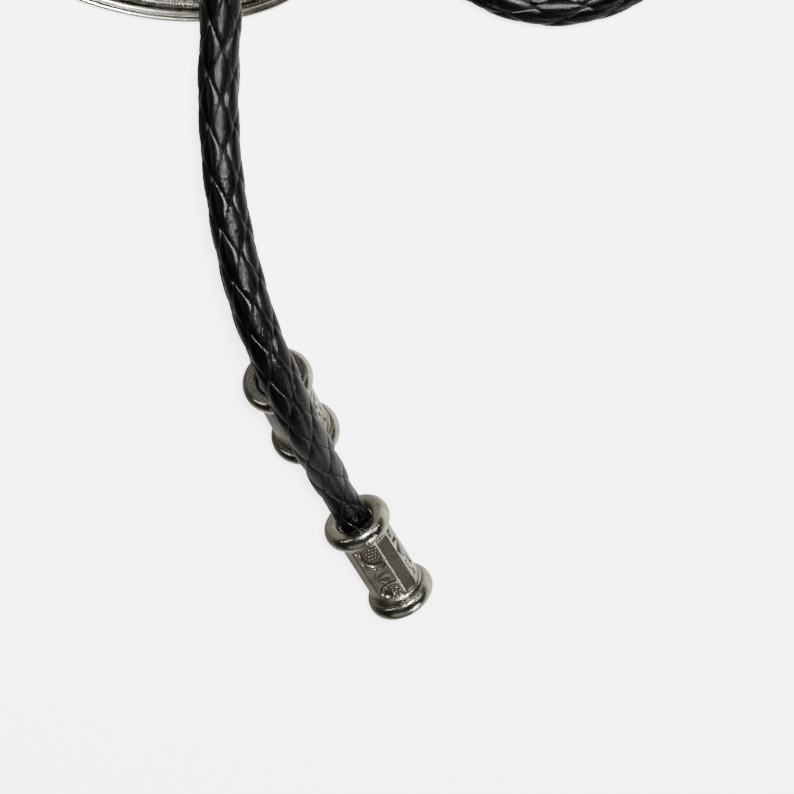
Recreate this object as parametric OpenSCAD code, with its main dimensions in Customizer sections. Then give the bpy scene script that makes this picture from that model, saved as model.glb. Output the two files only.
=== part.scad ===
// Wristlet keychain: a braided cord doubled through a two-bore keeper. Its bight is the wrist
// loop and its two tails end in cast spool tips. The keeper carries an oval medallion on one
// link, and a swivel hook with a split key ring on another. Everything lies on z = 0.

/* [Cord] */
// Diameter of the round braided cord
cord_d = 5.5; // [5:0.1:5.8]
// Diameter of the cord's pressed ends, inside the tips
cord_end_d = 4.8; // [4.2:0.1:5]
// Distance between the two strands' axes inside the keeper
strand_pitch = 7.4; // [7.2:0.1:8.4]

/* [Spool tips] */
// Distance between the middles of a tip's two flanges
tip_pitch = 14.8; // [12:0.1:18]
// Diameter of the rounded flanges
tip_flange_d = 10; // [9:0.1:12.5]
// Thickness of each flange
tip_flange_t = 2.6; // [2:0.1:3.2]
// Distance across the body's wide relief panels
tip_panel_w = 6.9; // [6.8:0.1:7.8]
// Distance across the body's narrow plain facets
tip_facet_w = 7.4; // [7.2:0.1:8.4]
// Depth of the cord's bore, from the entry face
tip_bore_l = 11; // [8:0.5:13]
// Wall of the crimped sleeve on the cord's end
sleeve_wall = 0.25; // [0.2:0.05:0.3]
// Depth of the cast relief in the panels
relief_depth = 0.3; // [0.2:0.05:0.4]

/* [Keeper] */
// Length of the keeper along the cord
keeper_l = 16; // [13:0.5:18.5]
// Width of the keeper across both strands
keeper_w = 19; // [18.4:0.2:24]
// Height of the keeper above its flat base
keeper_h = 13.6; // [13:0.2:17]
// Height of the strands' axes above the base
strand_h = 7.2; // [6.6:0.1:7.6]
// Wall of the rubber liner in each bore
liner_wall = 0.5; // [0.3:0.05:0.6]
// Diameter of the keeper screws' shanks
screw_d = 1.2; // [0.8:0.1:1.2]
// How far the keeper can slide up the cord
keeper_travel = 8; // [4:0.5:8.5]

/* [Medallion] */
// Width of the oval medallion
medal_w = 52; // [44:1:58]
// Height of the oval medallion
medal_h = 31; // [27:1:34]
// Height of the rim above the table
rim_h = 3.2; // [2.6:0.1:3.4]
// Width of the stepped rim
rim_w = 2.1; // [1.6:0.1:2.6]
// Thickness of the backing plate
back_t = 1.2; // [0.8:0.1:1.4]
// Thickness of the pierced plate
plate_t = 1; // [0.6:0.1:1]
// Petals pierced around the boss
petals = 10; // [6:2:14]
// Round eyelets pierced along the border
eyelets = 16; // [12:4:24]

/* [Links and key ring] */
// Mean diameter of the round link that holds the medallion
charm_link_d = 9.5; // [9:0.1:12]
// Wire diameter of that link
charm_wire_d = 1.6; // [1.2:0.1:1.8]
// Mean diameter of the round link that holds the hook
key_link_d = 10.4; // [9.6:0.1:13]
// Wire diameter of that link
key_wire_d = 1.8; // [1.4:0.1:2]
// Inside diameter of the split key ring
ring_in_d = 22.8; // [20:0.2:28]
// Radial width of the split ring's wire
ring_w = 2; // [1.4:0.1:2.2]
// Thickness of one turn of the split ring
ring_turn_t = 1.05; // [0.8:0.05:1.1]

/* [Swivel hook] */
// Diameter of the swivel barrel
barrel_d = 7.4; // [7:0.1:9]
// Diameter of the swivel post
post_d = 2.4; // [2:0.1:2.8]
// Half of the hook's inside width
hook_half = 5.5; // [5:0.1:7]
// Width of the hook's arms
hook_bar = 2.7; // [2.2:0.1:3.2]
// Thickness of the hook
hook_t = 2.6; // [2:0.1:2.8]
// Length of the hook's straight arm, from the barrel's mouth to the bend
hook_straight = 16; // [14:0.5:20]
// Angle that the hook leans over on the table
hook_lean = 13.5; // [10:0.5:16]

/* [Fits] */
// Radial clearance of the cord in the liners
cord_fit = 0.06; // [0.02:0.01:0.1]
// Radial clearance of the swivel post and of the gate on its pin
pivot_fit = 0.05; // [0.02:0.01:0.1]
// Gap between neighbouring pieces that only sit beside each other
seat_gap = 0.05; // [0.03:0.01:0.1]
// Axial play of the swivel and of the gate
play = 0.2; // [0.1:0.05:0.3]

/* [Hidden] */
$fn = 64;

leather = "#17171a";
silver = "#a9a59b";
nickel = "#b9b9b4";
steel = "#8f9296";
rubber = "#2b2b2d";

// Depth by which a cut runs past a face, so that no skin is left.
cut = 0.5;
// Sides and rings of a cord's tube.
cord_sides = 10;
cord_r = cord_d / 2;
cord_end_r = cord_end_d / 2;

// --- Keeper sizes -------------------------------------------------------------------------
keeper_x = -28;
keeper_y = 102;
keeper_mid_y = keeper_y + keeper_l / 2;
liner_in_r = cord_r + cord_fit;
liner_out_r = liner_in_r + liner_wall;
// The cord runs straight through the keeper and its travel.
run_from = keeper_y - 2.5;
run_to = keeper_y + keeper_l + keeper_travel + 3;
left_x = keeper_x - strand_pitch / 2;
right_x = keeper_x + strand_pitch / 2;
// The mouths of the bores are wider than the cord and narrower than the liners.
mouth_r = liner_in_r + 0.2;
lip = 1;
wall_x = (strand_pitch / 2 + liner_out_r + keeper_w / 2) / 2;
screw_y = keeper_l / 2 - 3;
screw_head_d = screw_d + 0.8;
screw_head_t = 0.8;
keeper_base_r = 1.6;
keeper_top_r = 4.6;

// --- Lugs, links and bail -----------------------------------------------------------------
lug_t = 2;
lug_wall = 0.95;
link_gap = 0.2;
charm_hole_r = charm_wire_d / 2 + link_gap;
charm_lug_r = charm_hole_r + lug_wall;
charm_z = charm_lug_r + 0.25;
charm_lug_y = keeper_y - charm_lug_r - 0.9;
key_hole_r = key_wire_d / 2 + link_gap;
key_lug_r = key_hole_r + lug_wall;
key_z = 4.2;
key_face_x = keeper_x - keeper_w / 2;
key_lug_u = key_lug_r + 0.4;

// --- Medallion place ----------------------------------------------------------------------
medal_turn = -15;
charm_mid = [keeper_x, charm_lug_y - charm_link_d / 2];
bail_l = 2.3;
bail_hole_r = charm_hole_r;
bail_r = bail_hole_r + lug_wall;
// From the medallion's middle to the hole of its bail.
bail_v = medal_h / 2 + bail_l;
medal_up = [-sin(medal_turn), cos(medal_turn)];
bail_at = charm_mid - charm_link_d / 2 * medal_up;
medal_mid = bail_at - bail_v * medal_up;

// --- Hook chain, measured to the left from the keeper's side face ---------------------------
key_link_u = key_lug_u + key_link_d / 2;
eye_u = key_lug_u + key_link_d;
eye_wire_r = 0.85;
eye_r = key_hole_r + eye_wire_r;
collar_r = 2.3;
collar_t = 0.8;
collar_u = eye_u + eye_r + eye_wire_r + 0.25;
barrel_u = collar_u + collar_t + play;
barrel_l = 7;
post_hole_l = 3.2;
head_r = 2.1;
head_t = 1.4;
head_room_r = head_r + 0.3;
bend_u = barrel_u + barrel_l + hook_straight;
hook_out = hook_half + hook_bar;
gate_u = barrel_u + 6;
gate_v = -(hook_half + hook_bar / 2);
pin_r = 0.75;
gate_knuckle_r = 1.9;
nose_u = bend_u - 3;
gate_tip_u = nose_u - play;
gate_lip_t = 0.8;
gate_lip_l = 1.4;
gate_slot_t = 1.3;
// The spring coils around the pin, above the fork: two turns of square wire.
spring_wire = 0.45;
spring_in_r = pin_r + 0.05;
spring_out_r = spring_in_r + spring_wire;
spring_low = hook_t / 2 + 0.05;
spring_step = spring_wire + 0.05;
pin_top = spring_low + spring_step + spring_wire + 0.1;
// The split ring's middle, past the hook's bend.
ring_mean_r = (ring_in_d + ring_w) / 2;
ring_u = bend_u + 0.7 + ring_mean_r;
turn_gap = 0.1;

// --- Spool tips ---------------------------------------------------------------------------
sleeve_in_r = cord_end_r + 0.02;
tip_bore_r = sleeve_in_r + sleeve_wall;
flange_core_r = (tip_flange_d - tip_flange_t) / 2;
neck_r = (tip_facet_w + 0.7) / 2;
neck_t = 0.7;
// Where each tip's free flange stands, its heading and its slope below the level.
front_foot = [0.5, -28.9];
front_yaw = -64.5;
front_slope = 13.5;
rear_foot = [-13, -3.5];
rear_yaw = -74;
rear_slope = 33.7;
// Turn of both tips around their own axes.
tip_roll = 5.6;

// --- Cord routes: points along the cord's axis ----------------------------------------------
lay_z = cord_r;
front_route = [
    [-31.7, 95, 7.5], [-31.2, 89.5, 8.5], [-29.7, 84, 10],
    [-27.6, 78.5, 11.7], [-25.4, 73, 12.8], [-23.6, 68, 13.3], [-22.7, 62.5, 13.5],
    [-23.1, 56, 14.2], [-23.3, 49.5, 15.5], [-23, 43, 17.2], [-22.2, 36.5, 19],
    [-21, 30.5, 20.6], [-19.6, 25, 21.8], [-17.9, 19.4, 22.4], [-16, 14.2, 22.3],
    [-14.1, 8.5, 21.2], [-12.1, 2.4, 18.5], [-10.2, -4, 14.4], [-8.6, -9.1, 11.3]
];
rear_route = [
    [-24.3, 95, 7.1], [-24.2, 88, 7], [-24, 80, 7],
    [-23.7, 72, 7], [-23.5, 64, 7.1], [-23.3, 57, 7.8], [-23.5, 50, 9.1],
    [-23.5, 43, 10.9], [-22.9, 36, 13], [-21.8, 29.5, 14.9], [-20.6, 24, 15.9],
    [-19.2, 18.5, 16], [-18, 14.2, 15.3]
];
loop_route = [
    [left_x, run_to, strand_h], [left_x, run_to + 1, strand_h], [-31.7, 134, 5.8], [-31.6, 139, 4], [-31, 144.5, 3],
    [-29, 152.5, lay_z], [-25, 160.5, lay_z], [-18.5, 168.5, lay_z], [-10, 175, lay_z],
    [0, 179, lay_z], [10.5, 180, lay_z], [21, 177.5, lay_z], [30.5, 172, lay_z],
    [38.5, 163.5, lay_z], [43.5, 154, lay_z], [46.2, 144, lay_z], [47.3, 133, lay_z],
    [47.7, 121, lay_z], [47.7, 109, lay_z], [47.2, 97, lay_z], [45.5, 85, lay_z],
    [42.2, 75, lay_z], [37, 66.5, lay_z], [30, 61, lay_z], [21, 58.7, lay_z],
    [12, 61, lay_z], [5, 66.5, lay_z], [0, 75, lay_z], [-2.8, 85, lay_z],
    [-3, 97, lay_z], [-1.5, 109, lay_z], [0.3, 120, lay_z], [1.3, 130, lay_z],
    [0.3, 139, lay_z], [-3.6, 146.3, lay_z], [-10.5, 150.3, lay_z], [-17.7, 148.3, 3],
    [-22.6, 142.4, 3.8], [-24.3, 135.5, 5.6],
    [right_x, run_to + 1, strand_h], [right_x, run_to, strand_h]
];

// --- The frame stands at the middle of the footprint of the pieces other than the cord ------
// Reach of a tilted flange along a direction that its axis leans to by the cosine given.
function flange_reach(lean) = flange_core_r * sqrt(1 - pow(lean, 2)) + tip_flange_t / 2;
ring_out_r = ring_mean_r + ring_w / 2;
left_end = key_face_x - ring_u - ring_out_r;
right_end = front_foot[0] + flange_reach(cos(front_slope) * cos(front_yaw));
near_end = front_foot[1] - flange_reach(cos(front_slope) * sin(front_yaw));
far_end = keeper_mid_y + ring_out_r * cos(hook_lean) + ring_turn_t * sin(hook_lean);
home = [-(left_end + right_end) / 2, -(near_end + far_end) / 2, 0];

// ------------------------------------------------------------------------------------------
// Cord
// ------------------------------------------------------------------------------------------
function unit(v) = v / norm(v);
function heading(pts, i) =
    let (last = len(pts) - 1)
    i == 0 ? unit(pts[1] - pts[0]) :
    i == last ? unit(pts[last] - pts[last - 1]) :
    unit(unit(pts[i + 1] - pts[i]) + unit(pts[i] - pts[i - 1]));
// One ring of the tube: it stands square to the cord, with one corner straight down.
function ring_points(at, along, r) =
    let (side = unit(cross(along, [0, 0, 1])), up = cross(side, along))
    [for (k = [0 : cord_sides - 1])
        let (a = -90 + k * 360 / cord_sides)
        at + r * (cos(a) * side + sin(a) * up)];

// A tube along the points. Its last three rings have the radius of its end.
module cord_tube(pts, end_r = cord_r) {
    rings = len(pts);
    last = (rings - 1) * cord_sides;
    points = [
        for (i = [0 : rings - 1])
            each ring_points(pts[i], heading(pts, i), i < rings - 3 ? cord_r : end_r)
    ];
    sides = [
        for (i = [0 : rings - 2])
            for (k = [0 : cord_sides - 1])
                let (
                    a = i * cord_sides + k,
                    b = i * cord_sides + (k + 1) % cord_sides
                )
                each [[a, b, b + cord_sides], [a, b + cord_sides, a + cord_sides]]
    ];
    start = [for (k = [cord_sides - 1 : -1 : 0]) k];
    end = [for (k = [0 : cord_sides - 1]) last + k];
    polyhedron(points = points, faces = concat([start], sides, [end]));
}

// ------------------------------------------------------------------------------------------
// Spool tips: built along +Z from the entry face, then laid at their place
// ------------------------------------------------------------------------------------------
function tip_dir(yaw, slope) = [cos(slope) * cos(yaw), cos(slope) * sin(yaw), -sin(slope)];
// Middle of the free flange, whose rounded edge stands on z = 0.
function tip_stand(foot, slope) =
    [foot[0], foot[1], flange_core_r * cos(slope) + tip_flange_t / 2];
// Middle of the entry face.
function tip_entry(foot, yaw, slope) =
    tip_stand(foot, slope) - (tip_pitch + tip_flange_t / 2) * tip_dir(yaw, slope);

module at_tip(foot, yaw, slope) {
    translate(tip_entry(foot, yaw, slope))
        rotate([0, 90 + slope, yaw])
            rotate(tip_roll)
                children();
}

module tip_flange() {
    rotate_extrude() {
        square([flange_core_r, tip_flange_t]);
        translate([flange_core_r, tip_flange_t / 2])
            circle(d = tip_flange_t);
    }
}

// The body's eight-sided outline: four wide panels between four narrow facets.
module tip_outline() {
    intersection() {
        square(tip_panel_w, center = true);
        rotate(45)
            square(tip_facet_w, center = true);
    }
}

// One panel's relief: two round sinkings and a curved slot between them.
module panel_relief() {
    body_l = tip_pitch - tip_flange_t;
    for (side = [-1, 1])
        translate([
            tip_panel_w / 2 - relief_depth, 0.7 * side, tip_flange_t + body_l / 2 + side * body_l / 3.4
        ])
            rotate([0, 90, 0])
                cylinder(h = relief_depth + cut, d = 1.5);
    for (side = [-1, 1])
        translate([tip_panel_w / 2 + cut, -0.5 * side, tip_flange_t + body_l / 2 + side * 1.6])
            rotate([25 * side, 0, 0])
                cube([2 * (relief_depth + cut), 0.6, 2.6], center = true);
}

module tip_casting() {
    body_l = tip_pitch - tip_flange_t;
    difference() {
        union() {
            tip_flange();
            translate([0, 0, tip_pitch])
                tip_flange();
            translate([0, 0, tip_flange_t / 2])
                linear_extrude(tip_pitch)
                    tip_outline();
            translate([0, 0, tip_flange_t])
                cylinder(h = neck_t, r = neck_r);
            translate([0, 0, tip_pitch - neck_t])
                cylinder(h = neck_t, r = neck_r);
        }
        for (turn = [0 : 90 : 270])
            rotate(turn)
                panel_relief();
        translate([0, 0, -cut])
            cylinder(h = tip_bore_l + cut, r = tip_bore_r);
        // The mouth is chamfered.
        translate([0, 0, -0.01])
            cylinder(h = 0.5, r1 = tip_bore_r + 0.5, r2 = tip_bore_r);
    }
}

// The sleeve starts below the chamfer and ends at the bottom of the bore.
module sleeve() {
    translate([0, 0, 0.8])
        difference() {
            cylinder(h = tip_bore_l - 0.8, r = tip_bore_r);
            translate([0, 0, -cut])
                cylinder(h = tip_bore_l + 2 * cut, r = sleeve_in_r);
        }
}

// A tail starts straight through the keeper and ends against the bottom of its tip's bore.
function tail(x, route, foot, yaw, slope) = concat([
    [x, run_to, strand_h], [x, run_from + 1, strand_h], [x, run_from, strand_h]
], route, [
    tip_entry(foot, yaw, slope) - 1.5 * tip_dir(yaw, slope),
    tip_entry(foot, yaw, slope) + 1.5 * tip_dir(yaw, slope),
    tip_entry(foot, yaw, slope) + tip_bore_l * tip_dir(yaw, slope)
]);

// ------------------------------------------------------------------------------------------
// Keeper: two castings around the lined bores, screwed together from below
// ------------------------------------------------------------------------------------------
// Upright section across the strands: flat base, full round shoulders.
module keeper_section() {
    half = keeper_w / 2;
    for (side = [-1, 1]) {
        translate([side * (half - keeper_base_r), keeper_base_r])
            circle(r = keeper_base_r);
        translate([side * (half - keeper_top_r), keeper_h - keeper_top_r])
            circle(r = keeper_top_r);
    }
    translate([-half + keeper_base_r, 0])
        square([keeper_w - 2 * keeper_base_r, keeper_h - keeper_top_r]);
    translate([-half, keeper_base_r])
        square([keeper_w, keeper_h - keeper_base_r - keeper_top_r]);
    translate([-half + keeper_top_r, 0])
        square([keeper_w - 2 * keeper_top_r, keeper_h]);
}

module along_keeper(inset = 0) {
    translate([keeper_x, keeper_y + keeper_l - inset, 0])
        rotate([90, 0, 0])
            children();
}

module keeper_bores() {
    for (x = [left_x, right_x]) {
        translate([x, keeper_y + keeper_l + cut, strand_h])
            rotate([90, 0, 0])
                cylinder(h = keeper_l + 2 * cut, r = mouth_r);
        translate([x, keeper_y + keeper_l - lip, strand_h])
            rotate([90, 0, 0])
                cylinder(h = keeper_l - 2 * lip, r = liner_out_r);
    }
}

module at_screws() {
    for (sx = [-1, 1], sy = [-1, 1])
        translate([keeper_x + sx * wall_x, keeper_mid_y + sy * screw_y, 0])
            children();
}

module keeper_solid() {
    difference() {
        along_keeper()
            linear_extrude(keeper_l)
                keeper_section();
        keeper_bores();
    }
}

module half_space(above) {
    translate([keeper_x - keeper_w, keeper_y - cut, above ? strand_h : -cut])
        cube([2 * keeper_w, keeper_l + 2 * cut, above ? keeper_h : strand_h + cut]);
}

// A lug: a disc with a hole across it, on a neck that runs back into its wall.
module lug(outer_r, hole_r, neck_l) {
    difference() {
        union() {
            cylinder(h = lug_t, r = outer_r, center = true);
            translate([0, -outer_r, -lug_t / 2])
                cube([neck_l, 2 * outer_r, lug_t]);
        }
        cylinder(h = lug_t + 2 * cut, r = hole_r, center = true);
    }
}

// ------------------------------------------------------------------------------------------
// Medallion: built flat around its own middle, then turned and laid under the tails
// ------------------------------------------------------------------------------------------
function oval(inset, steps = 72) =
    [for (i = [0 : steps - 1])
        [(medal_w / 2 - inset) * cos(i * 360 / steps), (medal_h / 2 - inset) * sin(i * 360 / steps)]];

module at_medallion() {
    translate([medal_mid[0], medal_mid[1], 0])
        rotate(medal_turn)
            children();
}

module oval_band(outer, inner, from, to) {
    translate([0, 0, from])
        linear_extrude(to - from)
            difference() {
                polygon(oval(outer));
                polygon(oval(inner));
            }
}

plate_inset = rim_w + seat_gap;
border_w = 1.1;
border_h = 0.5;
boss_r = 4.2;
boss_h = 1;
plate_top = back_t + plate_t;
rivet_d = 1.2;

// The oval that the eyelets and rivets stand on, inside the border.
eyelet_d = 1.8;
eyelet_a = medal_w / 2 - plate_inset - border_w - eyelet_d / 2 - 0.5;
eyelet_b = medal_h / 2 - plate_inset - border_w - eyelet_d / 2 - 0.5;
function on_eyelet_oval(t) = [eyelet_a * cos(t), eyelet_b * sin(t)];
// Distance from the middle to that oval, in the direction a.
function oval_reach(a) =
    eyelet_a * eyelet_b / norm([eyelet_b * cos(a), eyelet_a * sin(a)]);

petal_w = 2.2;
petal_start = boss_r + 0.6;
// A teardrop petal that points outwards, along x.
module petal(l) {
    translate([petal_w / 2, 0])
        circle(d = petal_w);
    polygon([[petal_w / 2, petal_w / 2], [petal_w / 2, -petal_w / 2], [l, 0]]);
}

module at_rivets() {
    for (t = [45 : 90 : 315])
        translate(on_eyelet_oval(t))
            children();
}

// ------------------------------------------------------------------------------------------
// Hook chain: x runs to the left from the keeper's side face, along the swivel's axis
// ------------------------------------------------------------------------------------------
module at_chain(lean = 0) {
    translate([key_face_x, keeper_mid_y, key_z])
        rotate([0, 0, 180])
            rotate([lean, 0, 0])
                children();
}

module bar_along(from, to, v_low, v_high) {
    translate([from, v_low, -hook_t / 2])
        cube([to - from, v_high - v_low, hook_t]);
}

module round_link(mean_d, wire_d, slit_at) {
    rotate(slit_at + 1)
        rotate_extrude(angle = 358)
            translate([mean_d / 2, 0])
                circle(d = wire_d, $fn = 32);
}

// A sector of the split ring's section, widened by a margin where it cuts.
module ring_sector(from, sweep, low, high, margin) {
    rotate(from)
        rotate_extrude(angle = sweep)
            translate([ring_in_d / 2 - margin, low])
                square([ring_w + 2 * margin, high - low]);
}

// ==========================================================================================
// Nodes
// ==========================================================================================
module wrist_loop() color(leather) cord_tube(loop_route);

module front_tail() color(leather)
    cord_tube(tail(left_x, front_route, front_foot, front_yaw, front_slope), cord_end_r);

module rear_tail() color(leather)
    cord_tube(tail(right_x, rear_route, rear_foot, rear_yaw, rear_slope), cord_end_r);

module front_tip() color(silver) at_tip(front_foot, front_yaw, front_slope) tip_casting();

module rear_tip() color(silver) at_tip(rear_foot, rear_yaw, rear_slope) tip_casting();

module front_tip_sleeve() color(steel) at_tip(front_foot, front_yaw, front_slope) sleeve();

module rear_tip_sleeve() color(steel) at_tip(rear_foot, rear_yaw, rear_slope) sleeve();

module keeper_base() color(silver) {
    difference() {
        union() {
            intersection() {
                keeper_solid();
                half_space(false);
            }
            // Lug for the medallion's link, between and below the two tails.
            translate([keeper_x, charm_lug_y, charm_z])
                rotate([0, 90, 0])
                    rotate(90)
                        lug(charm_lug_r, charm_hole_r, keeper_y - charm_lug_y + 1);
            // Lug for the hook's link, on the left side.
            translate([key_face_x - key_lug_u, keeper_mid_y, key_z])
                rotate([90, 0, 0])
                    lug(key_lug_r, key_hole_r, key_lug_u + 1);
        }
        at_screws() {
            translate([0, 0, -cut])
                cylinder(h = strand_h + 2 * cut, d = screw_d, $fn = 32);
            translate([0, 0, -cut])
                cylinder(h = cut + screw_head_t, d = screw_head_d, $fn = 32);
        }
    }
}

module keeper_cover() color(silver) {
    difference() {
        intersection() {
            keeper_solid();
            half_space(true);
        }
        at_screws()
            translate([0, 0, strand_h - cut])
                cylinder(h = cut + 2.5, d = screw_d, $fn = 32);
        // A shallow panel with two round sinkings for the cast ornament.
        translate([keeper_x, keeper_mid_y, keeper_h - 0.5])
            linear_extrude(1)
                for (side = [-1, 1])
                    translate([0, side * keeper_l / 4.6])
                        circle(d = 3);
    }
}

module keeper_liners() color(rubber) {
    for (x = [left_x, right_x])
        translate([x, keeper_y + keeper_l - lip, strand_h])
            rotate([90, 0, 0])
                difference() {
                    cylinder(h = keeper_l - 2 * lip, r = liner_out_r);
                    translate([0, 0, -cut])
                        cylinder(h = keeper_l, r = liner_in_r);
                }
}

module keeper_screws() color(steel) {
    at_screws() {
        translate([0, 0, 0.1])
            cylinder(h = screw_head_t - 0.1, d = screw_head_d, $fn = 32);
        translate([0, 0, 0.1])
            cylinder(h = strand_h + 2.2, d = screw_d, $fn = 32);
    }
}

module medallion_rim() color(nickel) at_medallion() {
    bead = rim_w * 0.42;
    // Outer bead, groove and taller inner bead.
    oval_band(0, rim_w, 0, rim_h - 0.9);
    oval_band(0.2, bead, rim_h - 0.9, rim_h - 0.4);
    oval_band(rim_w - bead, rim_w, rim_h - 0.9, rim_h);
}

module medallion_back() color(steel) at_medallion() {
    difference() {
        linear_extrude(back_t)
            polygon(oval(plate_inset));
        at_rivets()
            translate([0, 0, -cut])
                cylinder(h = back_t + 2 * cut, d = rivet_d, $fn = 32);
    }
}

module medallion_plate() color(silver) at_medallion() {
    difference() {
        translate([0, 0, back_t])
            linear_extrude(plate_t)
                difference() {
                    polygon(oval(plate_inset));
                    for (i = [0 : petals - 1])
                        let (a = (i + 0.5) * 360 / petals)
                        rotate(a)
                            translate([petal_start, 0])
                                petal(oval_reach(a) - petal_start - eyelet_d);
                    for (i = [0 : eyelets - 1])
                        translate(on_eyelet_oval((i + 0.5) * 360 / eyelets))
                            circle(d = eyelet_d, $fn = 32);
                    circle(r = boss_r - 1);
                }
        at_rivets()
            translate([0, 0, back_t - cut])
                cylinder(h = plate_t + 2 * cut, d = rivet_d, $fn = 32);
    }
}

module medallion_border() color(silver) at_medallion()
    oval_band(plate_inset, plate_inset + border_w, plate_top, plate_top + border_h);

module medallion_boss() color(silver) at_medallion() {
    translate([0, 0, plate_top])
        cylinder(h = boss_h * 0.4, r = boss_r);
    translate([0, 0, plate_top + boss_h * 0.4])
        cylinder(h = boss_h * 0.6, r1 = boss_r, r2 = boss_r * 0.55);
    translate([0, 0, back_t])
        cylinder(h = plate_t, r = boss_r - 1 - seat_gap);
}

module medallion_rivets() color(silver) at_medallion()
    at_rivets() {
        translate([0, 0, 0.1])
            cylinder(h = plate_top - 0.1, d = rivet_d, $fn = 32);
        translate([0, 0, plate_top])
            cylinder(h = 0.45, d = rivet_d + 1, $fn = 32);
    }

module medallion_bail() color(nickel) at_medallion()
    translate([0, bail_v, charm_z])
        rotate([0, 90, 0])
            rotate(-90)
                lug(bail_r, bail_hole_r, bail_l + 0.4);

module charm_link() color(nickel)
    translate([charm_mid[0], charm_mid[1], charm_z])
        round_link(charm_link_d, charm_wire_d, 0);

module key_link() color(nickel)
    at_chain()
        translate([key_link_u, 0, 0])
            round_link(key_link_d, key_wire_d, 90);

module swivel_eye() color(nickel)
    at_chain() {
        // The eye: its hole has a narrow round land where the link bears.
        translate([eye_u, 0, 0])
            rotate([90, 0, 0])
                difference() {
                    rotate_extrude()
                        translate([eye_r, 0])
                            circle(r = eye_wire_r, $fn = 32);
                    cylinder(h = 4 * eye_wire_r, r = key_hole_r + 0.06, center = true);
                }
        translate([eye_u + eye_r, 0, 0])
            rotate([0, 90, 0])
                cylinder(h = collar_u - eye_u - eye_r + collar_t, r = post_d / 2);
        translate([collar_u, 0, 0])
            rotate([0, 90, 0])
                cylinder(h = collar_t, r = collar_r);
        translate([collar_u, 0, 0])
            rotate([0, 90, 0])
                cylinder(h = barrel_u + post_hole_l + play + head_t - collar_u, r = post_d / 2);
        translate([barrel_u + post_hole_l + play, 0, 0])
            rotate([0, 90, 0])
                cylinder(h = head_t, r = head_r);
    }

module hook_body() color(nickel)
    at_chain(hook_lean) {
        difference() {
            union() {
                translate([barrel_u, 0, 0])
                    rotate([0, 90, 0])
                        cylinder(h = barrel_l, d = barrel_d);
                // Shoulder that carries both arms.
                bar_along(barrel_u + 2.5, barrel_u + barrel_l, -hook_half, hook_out);
                // Closed arm, bend and nose.
                bar_along(barrel_u + 2.5, bend_u, hook_half, hook_out);
                bar_along(nose_u, bend_u, -hook_out, -hook_half);
                bar_along(nose_u - gate_lip_l, nose_u + cut, -hook_out, -hook_out + gate_lip_t);
                translate([bend_u, 0, -hook_t / 2])
                    rotate(-90)
                        rotate_extrude(angle = 180)
                            translate([hook_half, 0])
                                square([hook_bar, hook_t]);
                // Fork for the gate.
                translate([gate_u, gate_v, 0])
                    cylinder(h = hook_t, r = gate_knuckle_r, center = true, $fn = 48);
                bar_along(barrel_u + 2.5, gate_u, gate_v - gate_knuckle_r + 0.1, -hook_half + 1);
            }
            // Bore of the post and room for its head.
            translate([barrel_u - cut, 0, 0])
                rotate([0, 90, 0])
                    cylinder(h = post_hole_l + 2 * cut, r = post_d / 2 + pivot_fit);
            translate([barrel_u + post_hole_l, 0, 0])
                rotate([0, 90, 0])
                    cylinder(h = barrel_l, r = head_room_r);
            // Slot of the fork and the pin's hole.
            translate([gate_u - gate_knuckle_r - play, gate_v - gate_knuckle_r - cut, -gate_slot_t / 2])
                cube([2 * gate_knuckle_r + 2 * cut, 2 * gate_knuckle_r + 2 * cut, gate_slot_t]);
            translate([gate_u, gate_v, 0])
                cylinder(h = hook_t + 2 * cut, r = pin_r, center = true, $fn = 32);
        }
    }

module hook_gate() color(nickel)
    at_chain(hook_lean) {
        tongue_t = gate_slot_t - 2 * 0.12;
        tongue_r = gate_knuckle_r - 0.1;
        difference() {
            union() {
                translate([gate_u, gate_v, 0])
                    cylinder(h = tongue_t, r = tongue_r, center = true, $fn = 48);
                translate([gate_u, gate_v - hook_bar / 2, -tongue_t / 2])
                    cube([gate_knuckle_r + 1.4, hook_bar, tongue_t]);
                bar_along(gate_u + gate_knuckle_r + 0.7, gate_tip_u, -hook_out, -hook_half);
                // Thumb piece.
                translate([gate_u + 6.2, -hook_out, 0])
                    cylinder(h = hook_t, r = 1.2, center = true, $fn = 32);
            }
            translate([gate_u, gate_v, 0])
                cylinder(h = hook_t + 2 * cut, r = pin_r + pivot_fit, center = true, $fn = 32);
            // Step that closes against the nose's lip.
            translate([gate_tip_u - gate_lip_l - play, -hook_out - cut, -hook_t])
                cube([gate_lip_l + play + cut, gate_lip_t + cut + 0.1, 2 * hook_t]);
        }
    }

module gate_pin() color(steel)
    at_chain(hook_lean)
        translate([gate_u, gate_v, -hook_t / 2]) {
            cylinder(h = hook_t / 2 + pin_top, r = pin_r, $fn = 32);
            // Head that keeps the spring on.
            translate([0, 0, hook_t / 2 + pin_top])
                cylinder(h = 0.4, r = spring_out_r, $fn = 32);
        }

// Torsion spring: two turns on the pin, one leg on the shoulder and one over the gate.
module gate_spring() color(steel)
    at_chain(hook_lean)
        translate([gate_u, gate_v, spring_low]) {
            difference() {
                cylinder(h = spring_step + spring_wire, r = spring_out_r);
                translate([0, 0, -cut])
                    cylinder(h = spring_step + spring_wire + 2 * cut, r = spring_in_r);
                // Gap between the turns, which leaves them joined at one side.
                translate([-2 * spring_out_r, -2 * spring_out_r, spring_wire])
                    cube([4 * spring_out_r, 2.6 * spring_out_r, spring_step - spring_wire]);
            }
            translate([-3.2, spring_in_r, 0])
                cube([3.2, spring_wire, spring_wire]);
            translate([0, spring_in_r, spring_step])
                cube([4.6, spring_wire, spring_wire]);
        }

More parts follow.
